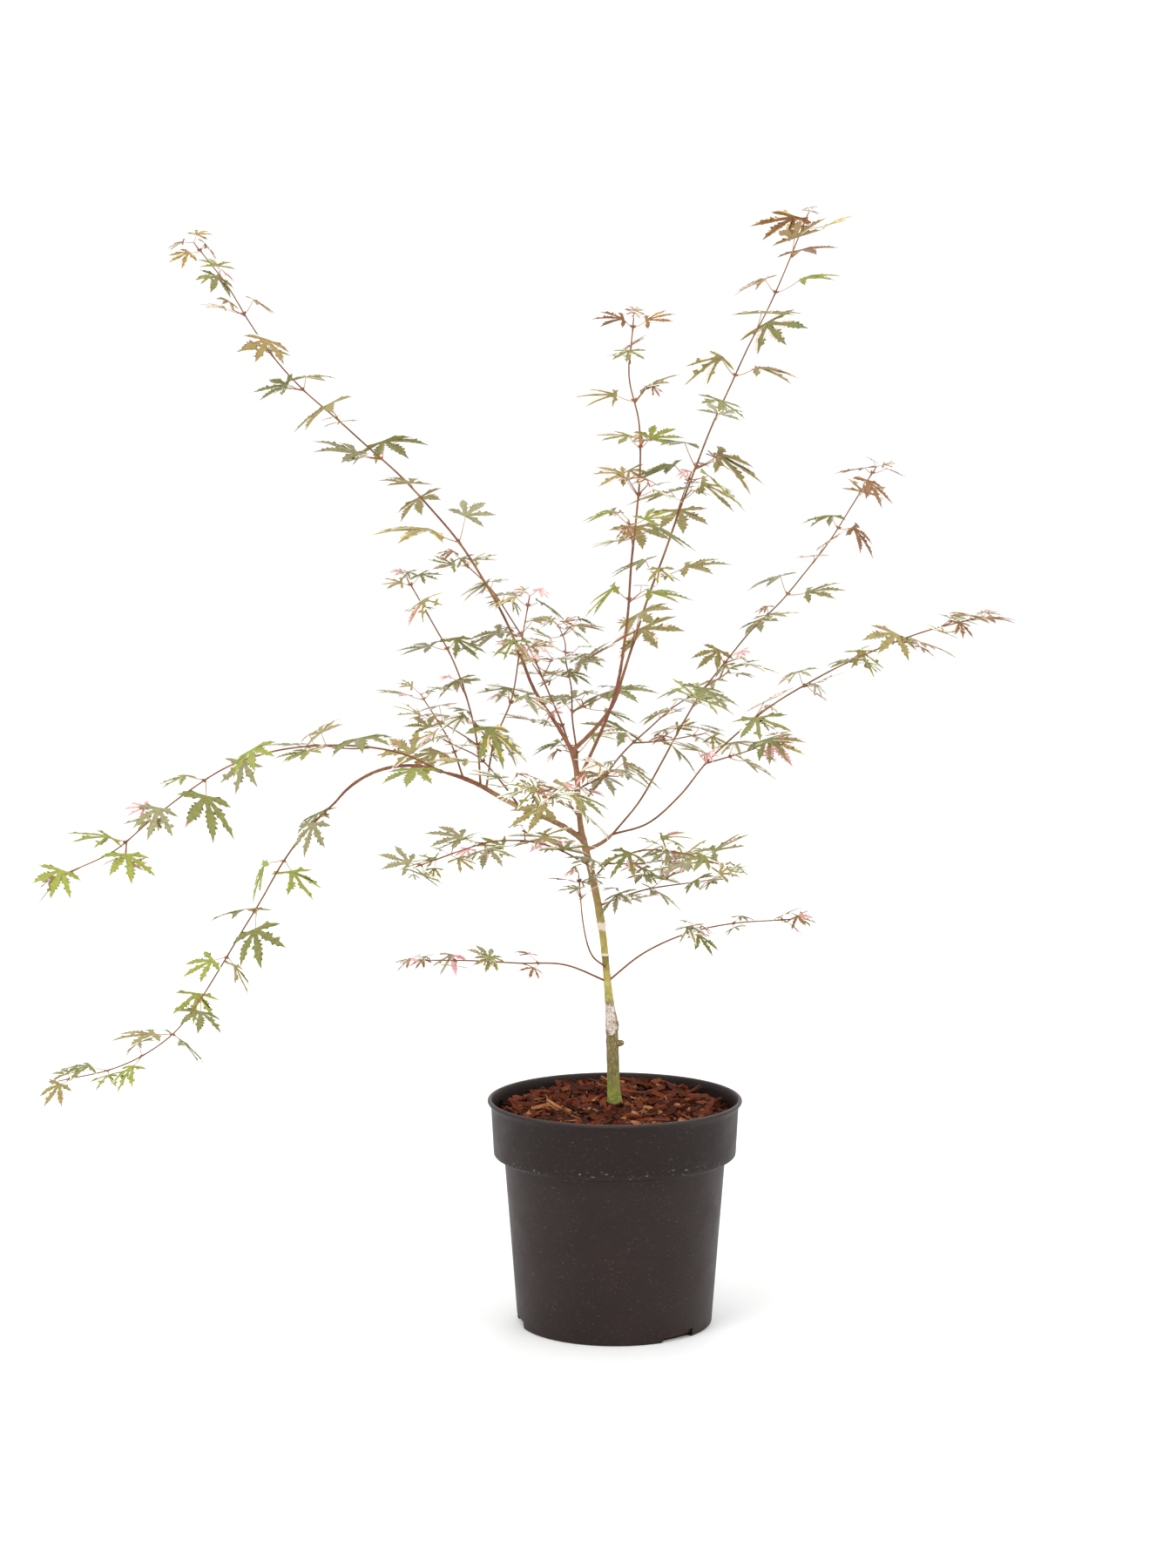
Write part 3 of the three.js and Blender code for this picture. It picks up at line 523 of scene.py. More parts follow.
def weld(piece, reach):
    """Merge corners that lie within reach of one another, in metres; the piece stays in edit mode."""
    pick(piece)
    bpy.ops.object.mode_set(mode="EDIT")
    bpy.ops.mesh.select_all(action="SELECT")
    bpy.ops.mesh.remove_doubles(threshold=reach)


def drawn_tubes(name, tubes, sides):
    """Round limbs drawn as curves, each with its own thickness along it, then turned into one mesh.

    tubes: (points, radii) in millimetres."""
    bare_hands()
    wire = bpy.data.curves.new(name, "CURVE")
    wire.dimensions = "3D"
    wire.bevel_depth = MM
    wire.bevel_resolution = sides // 2 - 2
    wire.use_fill_caps = True
    for points, radii in tubes:
        spline = wire.splines.new("POLY")
        spline.points.add(len(points) - 1)
        places = np.column_stack([np.array(points) * MM, np.ones(len(points))])
        spline.points.foreach_set("co", places.ravel())
        spline.points.foreach_set("radius", np.array(radii, float))
    piece = bpy.data.objects.new(name, wire)
    bpy.context.scene.collection.objects.link(piece)
    pick(piece)
    bpy.ops.object.convert(target="MESH")
    piece = bpy.context.object
    weld(piece, 1e-6)
    bpy.ops.mesh.normals_make_consistent(inside=False)
    bpy.ops.object.mode_set(mode="OBJECT")
    return piece


def girth_along(count, thick, thin):
    """Radii that taper evenly over a number of points."""
    return [mix(thick, thin, i / (count - 1)) for i in range(count)]


def nearest(flow, place):
    """The point of a flowing line that lies nearest to a place."""
    return flow[int(np.argmin([np.linalg.norm(spot - place) for spot in flow]))]


def smooth_line(line, step=4.0):
    """A flowing line through the corners of a centre line, with evenly spaced points."""
    line = [np.array(p, float) for p in line]
    padded = [line[0] * 2 - line[1]] + line + [line[-1] * 2 - line[-2]]
    flow = []
    for i in range(1, len(padded) - 2):
        p0, p1, p2, p3 = padded[i - 1:i + 3]
        parts = max(2, int(np.linalg.norm(p2 - p1) / step + 0.5))
        for k in range(parts):
            t = k / parts
            flow.append(0.5 * (2 * p1 + (p2 - p0) * t + (2 * p0 - 5 * p1 + 4 * p2 - p3) * t ** 2
                               + (3 * p1 - 3 * p2 + p3 - p0) * t ** 3))
    flow.append(line[-1])
    return flow


# ---------------------------------------------------------------- paints
class Wire:
    """A node socket that takes Python's own operators."""

    def __init__(self, paint, socket):
        self.paint = paint
        self.socket = socket

    def _maths(self, operation, *values):
        return self.paint.node("ShaderNodeMath", dict(operation=operation), *values)

    def __add__(self, other):
        return self._maths("ADD", self, other)

    def __sub__(self, other):
        return self._maths("SUBTRACT", self, other)

    def __rsub__(self, other):
        return self._maths("SUBTRACT", other, self)

    def __mul__(self, other):
        return self._maths("MULTIPLY", self, other)

    def between(self, low, high):
        """0 below low, 1 above high, an even slope from one to the other."""
        return self.paint.node("ShaderNodeMapRange", {}, self, low, high, 0.0, 1.0)

    def band(self, centre, half, soft):
        """1 within half of the centre, fading to 0 over soft on either side."""
        apart = self._maths("ABSOLUTE", self - centre)
        return 1 - apart.between(half, half + soft)

    __radd__ = __add__
    __rmul__ = __mul__


class Paint:
    """A material and its nodes."""

    def __init__(self, name, **surface):
        self.material = bpy.data.materials.new(name)
        self.material.use_nodes = True
        self.tree = self.material.node_tree
        self.tree.nodes.clear()
        shine = self.node("ShaderNodeBsdfPrincipled", {})
        self.shader = shine.socket.node
        self.node("ShaderNodeOutputMaterial", {}, Surface=shine)
        for socket, value in surface.items():
            self.set(socket.replace("_", " "), value)
        self.place = self.node("ShaderNodeTexCoord", {}, out="Object")

    def set(self, socket, value):
        self._feed(self.shader.inputs[socket], value)

    def _feed(self, socket, value):
        if isinstance(value, Wire):
            self.tree.links.new(value.socket, socket)
        elif isinstance(value, (tuple, list)) and len(value) == 3 and socket.type == "RGBA":
            socket.default_value = (*value, 1.0)
        else:
            socket.default_value = value

    def node(self, kind, settings, *inputs, out=0, **named):
        """Any node: its type, its settings, then the values or links of its sockets."""
        node = self.tree.nodes.new(kind)
        for key, value in settings.items():
            setattr(node, key, value)
        for socket, value in zip([s for s in node.inputs if s.enabled], inputs):
            self._feed(socket, value)
        for name, value in named.items():
            self._feed(next(s for s in node.inputs if s.enabled and s.name == name.replace("_", " ")), value)
        if isinstance(out, str):
            return Wire(self, node.outputs[out])
        outputs = [s for s in node.outputs if s.enabled]
        return Wire(self, outputs[out]) if outputs else None

    def spots(self, scale, detail=3.0, rough=0.55, place=None):
        """Cloudy noise from 0 to 1; scale is in blotches a metre."""
        return self.node("ShaderNodeTexNoise", {}, Vector=place or self.place, Scale=scale, Detail=detail,
                         Roughness=rough)

    def cells(self, scale, place=None):
        """How far each spot is from the middle of its cell; scale is in cells a metre."""
        return self.node("ShaderNodeTexVoronoi", {}, Vector=place or self.place, Scale=scale)

    def stretched(self, x, y, z):
        """Object coordinates pulled out along the axes."""
        return self.node("ShaderNodeMapping", {}, Vector=self.place, Scale=(x, y, z))

    def blend(self, share, low, high):
        """A colour between two: low where the share is 0, high where it is 1."""
        return self.node("ShaderNodeMix", dict(data_type="RGBA"), Factor=share, A=low, B=high)

    def split(self):
        """The place's three coordinates in metres."""
        return [self.node("ShaderNodeSeparateXYZ", {}, self.place, out=axis) for axis in range(3)]

    def bump(self, height, strength, depth):
        """depth: how deep the relief is, in metres."""
        self.set("Normal", self.node("ShaderNodeBump", {}, Strength=strength, Distance=depth, Height=height))
        return self


def tint(red, green, blue):
    """A colour from its everyday 0 to 255 values."""
    def light(value):
        value /= 255
        return value / 12.92 if value <= 0.04045 else ((value + 0.055) / 1.055) ** 2.4
    return light(red), light(green), light(blue)


def pot_plastic():
    """Black plastic, with the collar painted darker as shade so the body below it reads greyer, a painted
    highlight along the lip, scuffs along the collar's edge and specks of dust.
    """
    paint = Paint("pot_plastic", Specular_IOR_Level=0.2)
    height = paint.split()[2]
    cloud = paint.spots(26, 4)
    speck = (1 - paint.cells(460).between(0.05, 0.11)) * paint.spots(70, 2).between(0.42, 0.6)
    scuff = paint.spots(240, 5, 0.75, paint.stretched(1, 1, 2.6)).between(0.6, 0.72)
    collar_edge = height.band((COLLAR_FROM + 2) * MM, 0.0022, 0.004)
    worn = scuff * (collar_edge * 0.9 + 0.14) + speck * 0.6
    plastic = paint.blend(cloud, tint(31, 21, 19), tint(45, 33, 30))
    # painted shade: the collar takes a darker copy of the plastic's tints
    painted_shade_collar = paint.blend(cloud, tint(24, 14, 12), tint(34, 22, 20))
    plastic = paint.blend(height.between(COLLAR_FROM * MM, (COLLAR_FROM + 3) * MM), plastic, painted_shade_collar)
    # painted highlight: a lighter warm tint in patches along the lip, standing in for light caught on the rim
    lip = height.between((POT_HEIGHT - LIP_DEPTH) * MM, (POT_HEIGHT - 0.4) * MM)
    plastic = paint.blend(lip * cloud * 0.26, plastic, tint(134, 118, 112))
    paint.set("Base Color", paint.blend(worn, plastic, tint(160, 156, 158)))
    paint.set("Roughness", paint.spots(60, 5, 0.6) * 0.24 + worn * 0.2 + 0.36)
    return paint.bump(paint.spots(1500, 3, 0.7), 0.35, 0.0003).material


def potting_compost():
    """Dark, crumbly compost."""
    paint = Paint("potting_compost", Roughness=0.95)
    paint.set("Base Color", paint.blend(paint.spots(300, 5, 0.7), tint(34, 24, 18), tint(74, 54, 40)))
    return paint.bump(paint.cells(420) + paint.spots(900, 4, 0.7), 0.9, 0.0012).material


def chipped_bark(name, dark, light):
    """Fibrous wood: fine streaks over cloudy red-brown."""
    paint = Paint(name, Roughness=0.85, Specular_IOR_Level=0.12)
    streak = paint.spots(330, 6, 0.75, paint.stretched(1, 3.4, 2.2))
    flake = paint.cells(260)
    paint.set("Base Color", paint.blend(streak.between(0.32, 0.72), dark, light))
    return paint.bump(streak * 0.8 + flake * 0.4, 0.8, 0.0008).material


# Where the stem's marks and its painted shade bands stand, in millimetres above the mulch.
STUB_SHADE, GRAFT, LOWER_RING, UPPER_RING = 32, 66, 113.6, 138.5


def stem_bark():
    """Green at the foot, knotty up to a pale graft scar, then olive and brown, with painted shade under the
    ring scars and below the stub; boughs turn gold and red.
    """
    paint = Paint("stem_bark", Specular_IOR_Level=0.3)
    x, y, height = paint.split()
    up = (height - MULCH_TOP * MM) * (1 / MM)
    cloud = paint.spots(180, 5, 0.65)
    patch = cloud.between(0.36, 0.64)
    fine = paint.spots(700, 5, 0.7, paint.stretched(1, 1, 0.35))
    green = paint.blend(patch, tint(112, 122, 44), tint(150, 154, 66))
    knotty = paint.blend(fine.between(0.4, 0.62), tint(104, 92, 56), tint(150, 134, 88))
    olive = paint.blend(patch, tint(156, 144, 72), tint(188, 174, 98))
    brown = paint.blend(patch, tint(122, 88, 60), tint(160, 122, 86))
    golden = paint.blend(patch, tint(156, 128, 84), tint(186, 158, 112))
    red = paint.blend(patch, tint(104, 62, 44), tint(142, 90, 62))
    grain = paint.spots(520, 4, 0.7, paint.stretched(1, 1, 0.16)).between(0.5, 0.62)
    skin = paint.blend((up + cloud * 30).between(24, 50) + grain * 0.5, green, knotty)
    skin = paint.blend((up + cloud * 24).between(82, 96), skin, olive)
    skin = paint.blend((up + cloud * 60).between(148, 205), skin, brown)
    leftward = x * (-1 / MM) + cloud * 50
    skin = paint.blend(leftward.between(66, 80), skin, golden)
    skin = paint.blend(leftward.between(106, 130) + (up + cloud * 60).between(255, 320), skin, red)
    dots = paint.cells(560, paint.stretched(1, 1, 0.6))
    dotted = (1 - dots.between(0.14, 0.26)) * paint.spots(240).between(0.42, 0.55) * (1 - up.between(70, 100))
    skin = paint.blend(dotted * 0.9, skin, tint(206, 198, 140))
    facing_left = (x * -0.62 - y * 0.78).between(-0.0005, 0.0032)
    graft = up.band(GRAFT, 8, 8) * facing_left + (paint.spots(240, 5, 0.8) - 0.5) * 3.4
    ragged = graft.between(0.6, 0.72)
    skin = paint.blend(graft.between(0.36, 0.56) * up.band(GRAFT, 14, 8) * 0.8, skin, tint(118, 88, 62))
    scar = paint.blend(paint.spots(520, 4, 0.7).between(0.4, 0.6), tint(168, 150, 132), tint(228, 216, 206))
    skin = paint.blend(ragged, skin, scar)
    # painted shade: darker bands under the lower ring, below the stub and just under the upper ring
    painted_shade_under_ring = up.band(LOWER_RING - 6.6, 5.5, 0.5) * up.between(98, 112) * 0.75
    shade = painted_shade_under_ring + up.band(STUB_SHADE, 1.0, 2.0) * 0.3 + up.band(UPPER_RING - 2.5, 1.0, 5) * 0.35
    skin = paint.blend(shade, skin, tint(104, 92, 44))
    torn = (paint.spots(240, 3) * 7 + up).band(UPPER_RING, 2.2, 1.2)
    pale_rings = up.band(LOWER_RING, 0.6, 0.6) + torn
    skin = paint.blend(pale_rings * 0.9, skin, tint(232, 216, 196))
    paint.set("Base Color", skin)
    paint.set("Roughness", cloud * 0.3 + 0.5)
    return paint.bump(fine + dotted * 0.6 + ragged * 0.5, 0.7, 0.0006).material


def young_bark(name, dark, light, pale):
    """Smooth young wood, cloudy along its length and freckled with small pale breathing spots."""
    paint = Paint(name, Specular_IOR_Level=0.4)
    cloud = paint.spots(90, 5, 0.6)
    freckle = (1 - paint.cells(520).between(0.1, 0.2)) * paint.spots(210).between(0.5, 0.62)
    skin = paint.blend(cloud.between(0.35, 0.66), dark, light)
    paint.set("Base Color", paint.blend(freckle * 0.6, skin, pale))
    paint.set("Roughness", cloud * 0.25 + 0.42)
    return paint.bump(paint.spots(800, 4, 0.7), 0.4, 0.0003).material


def leaf_skin(name, colour, deep):
    """A leaf's tint, barely clouded, because each tint is dealt out leaf by leaf."""
    paint = Paint(name, Roughness=0.55, Specular_IOR_Level=0.3)
    paint.set("Base Color", paint.blend(paint.spots(420, 3, 0.6).between(0.38, 0.64), deep, colour))
    return paint.bump(paint.spots(1300, 3, 0.7), 0.25, 0.0002).material


# ---------------------------------------------------------------- pot and fill
def raised_from_disc(name, stations, sides):
    """A round piece raised from a disc, ring by ring: stations are radius and height in millimetres."""
    bare_hands()
    (radius, height), *rest = stations
    bpy.ops.mesh.primitive_circle_add(vertices=sides, radius=radius * MM, fill_type="NGON",
                                      location=(0, 0, height * MM), enter_editmode=True)
    for next_radius, next_height in rest:
        bpy.ops.mesh.extrude_region_move(
            TRANSFORM_OT_translate=dict(value=(0, 0, (next_height - height) * MM)))
        bpy.ops.transform.resize(value=(next_radius / radius, next_radius / radius, 1),
                                 center_override=(0, 0, next_height * MM))
        radius, height = next_radius, next_height
    bpy.ops.mesh.select_all(action="SELECT")
    bpy.ops.mesh.normals_make_consistent(inside=False)
    bpy.ops.object.mode_set(mode="OBJECT")
    piece = bpy.context.object
    piece.name = name
    return piece


def arc_stations(centre, reach, start, end, parts):
    """Stations round a rounded edge, from one angle to another."""
    angles = [math.radians(mix(start, end, i / parts)) for i in range(parts + 1)]
    return [(centre[0] + reach * math.cos(a), centre[1] + reach * math.sin(a)) for a in angles]


def make_pot(paint):
    """Body, collar and rolled lip raised in one, then the drain notches cut through the foot."""
    lip = 1.7
    outside = [
        *arc_stations((FOOT_RADIUS - 1.8, 1.8), 1.8, -90, -5, 4),
        (mix(FOOT_RADIUS, BODY_TOP_RADIUS, 0.5), COLLAR_FROM / 2),
        (BODY_TOP_RADIUS - 0.1, COLLAR_FROM - 5), (BODY_TOP_RADIUS + 0.2, COLLAR_FROM - 3.4),
        (BODY_TOP_RADIUS + 1.4, COLLAR_FROM - 1.9), (BODY_TOP_RADIUS + 3.4, COLLAR_FROM - 1.0),
        *arc_stations((COLLAR_RADIUS - 1.6, COLLAR_FROM + 1.2), 1.6, -90, 0, 4),
        (COLLAR_RADIUS + 1.0, COLLAR_FROM + 20), (RIM_RADIUS - 2.7, POT_HEIGHT - 7),
        (RIM_RADIUS - 1.9, POT_HEIGHT - 4.6),
    ]
    rim = arc_stations((RIM_RADIUS - lip, POT_HEIGHT - lip), lip, -40, 90, 7)
    inside = [
        (RIM_RADIUS - 2.6, POT_HEIGHT - 0.3), (RIM_RADIUS - 3.3, POT_HEIGHT - 1.6),
        (RIM_RADIUS - 2.6 - WALL, POT_HEIGHT - 6), (COLLAR_RADIUS - WALL, COLLAR_FROM + 3),
        (BODY_TOP_RADIUS - WALL, COLLAR_FROM - 1.4), (FOOT_RADIUS - WALL, FLOOR), (FOOT_RADIUS - 6, FLOOR),
    ]
    pot = raised_from_disc("pot_body", outside + rim + inside, 144)
    depth, width, height = NOTCH_SIZE
    for heading in NOTCH_HEADINGS:
        bare_hands()
        turn = math.radians(heading)
        reach = FOOT_RADIUS - depth / 2 + 2.5
        place = np.array([reach * math.cos(turn), reach * math.sin(turn), height / 2 - 1]) * MM
        bpy.ops.mesh.primitive_cube_add(size=1, location=place, rotation=(0, 0, turn))
        cutter = bpy.context.object
        cutter.scale = (depth * MM, width * MM, (height + 2) * MM)
        cut = pot.modifiers.new("notch", "BOOLEAN")
        cut.object = cutter
        cut.solver = "EXACT"
        finish_modifiers(pot)
        bpy.data.objects.remove(cutter)
    settle(pot, paint, smooth=32)
    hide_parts("pot")


def mulch_height(x, y):
    """The heap falls towards the wall and is thrown up a little at the back."""
    radius = math.hypot(x, y)
    heaped = max(0, min(1, (y - 15) / 55)) * max(0, 1 - (x / 82) ** 2)
    return mix(MULCH_TOP, MULCH_WALL_TOP, min(1, radius / MULCH_RADIUS) ** 1.6) + MULCH_HEAP * heaped


def make_mulch_bed(paint):
    """The fine, crumbled layer under the chips."""
    rings = [mix(0.35, 1, i / BED_RINGS) * MULCH_RADIUS for i in range(BED_RINGS, -1, -1)]
    stations = [(MULCH_RADIUS, MULCH_LOW[2])] + [(ring * 0.999, mulch_height(ring, 0)) for ring in rings]
    for share in (0.25, 0.15, 0.06):
        stations.append((MULCH_RADIUS * share, mulch_height(MULCH_RADIUS * share, 0)))
    bed = raised_from_disc("mulch_bed", stations, 120)
    for corner in bed.data.vertices:
        if corner.co.z > (MULCH_LOW[2] + 4) * MM:
            lumps = 1.3 * noise.noise(corner.co * 210) + 0.8 * noise.noise(corner.co * 620)
            corner.co.z = (mulch_height(corner.co.x / MM, corner.co.y / MM) - 2.2 + lumps) * MM
    settle(bed, paint, smooth=60)
    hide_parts("bark_mulch")


def chip_shapes():
    """A few flakes of bark, each shaped from a block: corners and faces, one unit long."""
    shapes = []
    roll = dice(501)
    for i in range(CHIP_SHAPES):
        bare_hands()
        bpy.ops.mesh.primitive_cube_add(size=1, enter_editmode=True)
        bpy.ops.transform.resize(value=(1, roll(0.18, 0.42), roll(0.1, 0.2)))
        bpy.ops.mesh.subdivide(number_cuts=1)
        bpy.ops.object.mode_set(mode="OBJECT")
        flake = bpy.context.object
        for corner in flake.data.vertices:
            spread = 0.12 if abs(corner.co.x) > 0.4 else 0.06
            corner.co.x += roll(-spread, spread)
            corner.co.y += roll(-0.06, 0.06)
            corner.co.z += roll(-0.035, 0.035) + 0.14 * (corner.co.x ** 2) * (1 if i % 2 else -1)
        shapes.append((np.array([c.co for c in flake.data.vertices]),
                       [list(face.vertices) for face in flake.data.polygons]))
        bpy.data.objects.remove(flake)
    return shapes


def joined(name, heaps):
    """One mesh from many small copies: heaps are (corners in millimetres, faces)."""
    corners = []
    faces = []
    count = 0
    for places, shape in heaps:
        corners.append(places)
        faces += [[count + i for i in face] for face in shape]
        count += len(places)
    mesh = bpy.data.meshes.new(name)
    mesh.from_pydata((np.concatenate(corners) * MM).tolist(), [], faces)
    mesh.update()
    piece = bpy.data.objects.new(name, mesh)
    bpy.context.scene.collection.objects.link(piece)
    return piece


def facing(heading, pitch, roll_over):
    """Three square axes turned by heading, pitch and roll, in radians."""
    ahead = headed(heading, pitch)
    side = turned(unit(np.cross(UP, ahead)), ahead, roll_over)
    return np.array([ahead, side, np.cross(ahead, side)])


CHIPS, CHIPS_ROUND_STEM, FIBRES = 900, 22, 60
CHIP_SHAPES = 9
CHIP_SHARES = {"chips_dark": 5, "chips_red": 6, "chips_brown": 6, "chips_pale": 1}
STEM_ROOM = 6.5                      # how far the upper chips stay off the stem
FULL_TURN = 2 * math.pi
GOLDEN_ANGLE = 137.5


def on_mulch(radius, turn, lift, middle=0.0):
    """A place at a lift above the mulch, off the pot's axis or, with middle, off the stem's."""
    x, y = middle + radius * math.cos(turn), radius * math.sin(turn)
    return np.array([x, y, mulch_height(x, y) + lift])


def make_chips(paints):
    """Bark chips strewn over the bed, thicker where they lie on one another, and close round the stem."""
    shapes = chip_shapes()
    roll = dice(77)
    heaps = {name: [] for name in paints}
    names = [name for name, weight in CHIP_SHARES.items() for _ in range(weight)]

    def lay(spot, axes, length):
        corners, faces = one_of(shapes, roll)
        heaps[one_of(names, roll)].append((spot + corners * length @ axes, faces))

    def slant(heading, pitch, roll_over):
        return facing(heading, math.radians(roll(-pitch, pitch)), math.radians(roll(-roll_over, roll_over)))

    for i in range(CHIPS):
        upper = i > CHIPS / 2
        length = roll(8, 17) if upper else roll(6, 13)
        radius = math.sqrt(roll(0, 1)) * (MULCH_RADIUS - length * 0.42)
        turn = roll(0, FULL_TURN)
        if radius < STEM_ROOM + length / 2 and upper:
            radius = STEM_ROOM + length / 2 + roll(0, 6)
        if radius < STEM_ROOM + 1:
            continue
        spot = on_mulch(radius, turn, roll(-1.6, 0.6) + (roll(0.3, 2.8) if upper else 0))
        lay(spot, slant(roll(0, FULL_TURN), 30, 60), length)
    for i in range(CHIPS_ROUND_STEM):
        length = roll(5, 9)
        turn = math.radians(i * GOLDEN_ANGLE)
        radius = 6.0 + length * 0.3 + roll(0, 1.6)
        axes = slant(turn + roll(0.9, 2.2), 30, 50)
        lay(on_mulch(radius, turn, roll(0.6, 2.6), TRUNK["foot"][0]), axes, length)
    for name, heap in heaps.items():
        chips = joined(name, heap)
        settle(chips, paints[name], smooth=35)
        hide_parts("bark_mulch")

    shreds = []
    for _ in range(FIBRES):
        radius = math.sqrt(roll(0.02, 0.9)) * (MULCH_RADIUS - 7)
        spot = on_mulch(radius, roll(0, FULL_TURN), roll(1.0, 3.0))
        ahead, side, _ = facing(roll(0, FULL_TURN), math.radians(roll(-10, 14)), 0) * roll(4, 9)
        shreds.append(([spot - ahead, spot + side * roll(-0.3, 0.3), spot + ahead],
                       [0.22, roll(0.3, 0.6), 0.18]))
    fibres = drawn_tubes("mulch_fibres", shreds, 6)
    settle(fibres, paints["chips_pale"], smooth=60)
    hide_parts("bark_mulch")


# ---------------------------------------------------------------- trunk, boughs, stems and twigs
def swollen(radius, at, joints, gain, half):
    """A limb's radius, thicker at its joints: at and joints are distances along it in millimetres."""
    return radius * (1 + gain * sum(math.exp(-((at - joint) / half) ** 2) for joint in joints))


TRUNK_RINGS = (113, 135, 168, 201)   # the trunk's ring scars, in millimetres along it
BOUGH_RING_FROM, BOUGH_RING_GAP = 18, 27

# Healed knobs round the graft: height above the mulch, heading, size and how far they stand out.
GRAFT_KNOBS = ((76, -115, 3.0, 0.9), (63, -108, 3.4, 1.3), (55, -100, 3.0, 0.9), (48, -150, 2.4, 0.7),
               (60, -20, 3.2, 0.9), (70, 60, 3.0, 0.8), (40, -60, 2.0, 0.6), (36, 130, 2.6, 0.7))


def limb_radii(name, count):
    """The radii of the trunk or a bough at evenly spaced points, with its ring scars."""
    plan = TRUNK if name == "trunk" else BOUGHS[name]
    length = plan["length"]
    rings = TRUNK_RINGS
    if name != "trunk":
        rings = [BOUGH_RING_FROM + BOUGH_RING_GAP * k for k in range(int(length / BOUGH_RING_GAP))]
    radii = []
    for i in range(count):
        share = i / (count - 1)
        radius = girth_at(plan["girth"], share)
        if name != "trunk":
            radius *= 1 + 0.25 * math.exp(-share * length / 5)
            radius = mix(radius, stem_radius(name) * 1.1, max(0, (share - 0.8) / 0.2) ** 2)
        radii.append(swollen(radius, share * length, rings, 0.13, 1.5))
    return radii


def bark_relief(spot, outward, foot):
    """How far the bark stands out at a spot, in millimetres: grain, root flare, and knobs round the graft."""
    up = (spot.z - foot[2]) / MM
    coarse = noise.noise(Vector((spot.x, spot.y, spot.z * 0.35)) * 420)
    fine = noise.noise(Vector((spot.x, spot.y, spot.z * 0.5)) * 1500)
    push = 0.16 * coarse + 0.09 * fine
    if up < 30:
        turn = math.atan2(spot.y - foot[1], spot.x - foot[0])
        push += math.exp(-up / 7) * (0.9 * math.cos(3 * turn + 0.7) + 0.4 * math.cos(5 * turn))
    if 30 < up < 90:
        rough = math.exp(-((up - 60) / 16) ** 2)
        push += rough * (0.45 * noise.noise(spot * 260) + 0.3 * noise.noise(spot * 700))
        for height, heading, size, rise in GRAFT_KNOBS:
            turn = math.radians(heading)
            aside = math.hypot(outward[0] - math.cos(turn), outward[1] - math.sin(turn)) * 4.6
            apart = math.hypot(up - height, aside) / size
            push += rise * (math.exp(-apart ** 2) - 0.7 * math.exp(-(apart * 2.6) ** 2))
    return push


def make_trunk_and_boughs(limbs, paint):
    """Trunk and boughs flow into one another, with root flare, graft bulge, ring scars and bark relief."""
    tubes = []
    for name in ("trunk", *BOUGHS):
        flow = smooth_line(limbs[name], 1.6)
        tubes.append((flow, limb_radii(name, len(flow))))
    bark = drawn_tubes("trunk_and_boughs", tubes, 20)
    bark.data.remesh_voxel_size = 0.55 * MM
    bark.data.remesh_voxel_adaptivity = 0
    bpy.ops.object.voxel_remesh()
    smooth = bark.modifiers.new("worn", "SMOOTH")
    smooth.factor = 0.5
    smooth.iterations = 5
    finish_modifiers(bark)
    mesh = bark.data
    places = np.empty(len(mesh.vertices) * 3)
    outward = np.empty(len(mesh.vertices) * 3)
    mesh.vertices.foreach_get("co", places)
    mesh.vertex_normals.foreach_get("vector", outward)
    places, outward = places.reshape(-1, 3), outward.reshape(-1, 3)
    foot = np.array(TRUNK["foot"]) * MM
    for place, normal in zip(places, outward):
        place += normal * bark_relief(Vector(place), normal, foot) * MM
    places[:, 2] = np.maximum(places[:, 2], foot[2])
    mesh.vertices.foreach_set("co", places.ravel())
    mesh.update()
    settle(bark, paint, smooth=70)
    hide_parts("trunk", *BOUGHS)


def knot_stub(paint):
    """The short cut stub on the right side of the lower stem."""
    offsets = ((1, 0, 46), (4.5, -1, 46.5), (6.6, -1.4, 47), (7.4, -1.5, 47.2))
    line = [np.array(TRUNK["foot"]) + offset for offset in offsets]
    stub = drawn_tubes("pruned_stub", [(line, [2.6, 2.5, 1.9, 0.8])], 14)
    settle(stub, paint, smooth=50)
    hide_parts("trunk")


def stem_radius(name):
    """A leafy stem's radius at its foot: the leaders are the stoutest, the side twigs the finest."""
    return 0.66 if "_twig" in name else 1.02 if "leader" in name else 0.8


def make_stems(flows, joints, paint):
    """The leafy stems and their side twigs, swollen at each pair of leaves."""
    for kind, sides in (("stems", 8), ("side_twigs", 6)):
        tubes = []
        for name, flow in flows.items():
            if (kind == "stems") != (name in FOLIAGE):
                continue
            lengths = [0.0]
            for a, b in zip(flow, flow[1:]):
                lengths.append(lengths[-1] + np.linalg.norm(b - a))
            total = lengths[-1]
            swellings = [share * total for share in joints.get(name, ())]
            radii = []
            for at in lengths:
                radius = mix(stem_radius(name), 0.46, (at / total) ** 0.8)
                radius *= 1 + 0.2 * math.exp(-at / 4.5)
                radii.append(swollen(radius, at, swellings, 0.42, 1.2))
            tubes.append((flow, radii))
        wood = drawn_tubes(kind, tubes, sides)
        settle(wood, paint, smooth=60)
        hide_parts(*FOLIAGE)


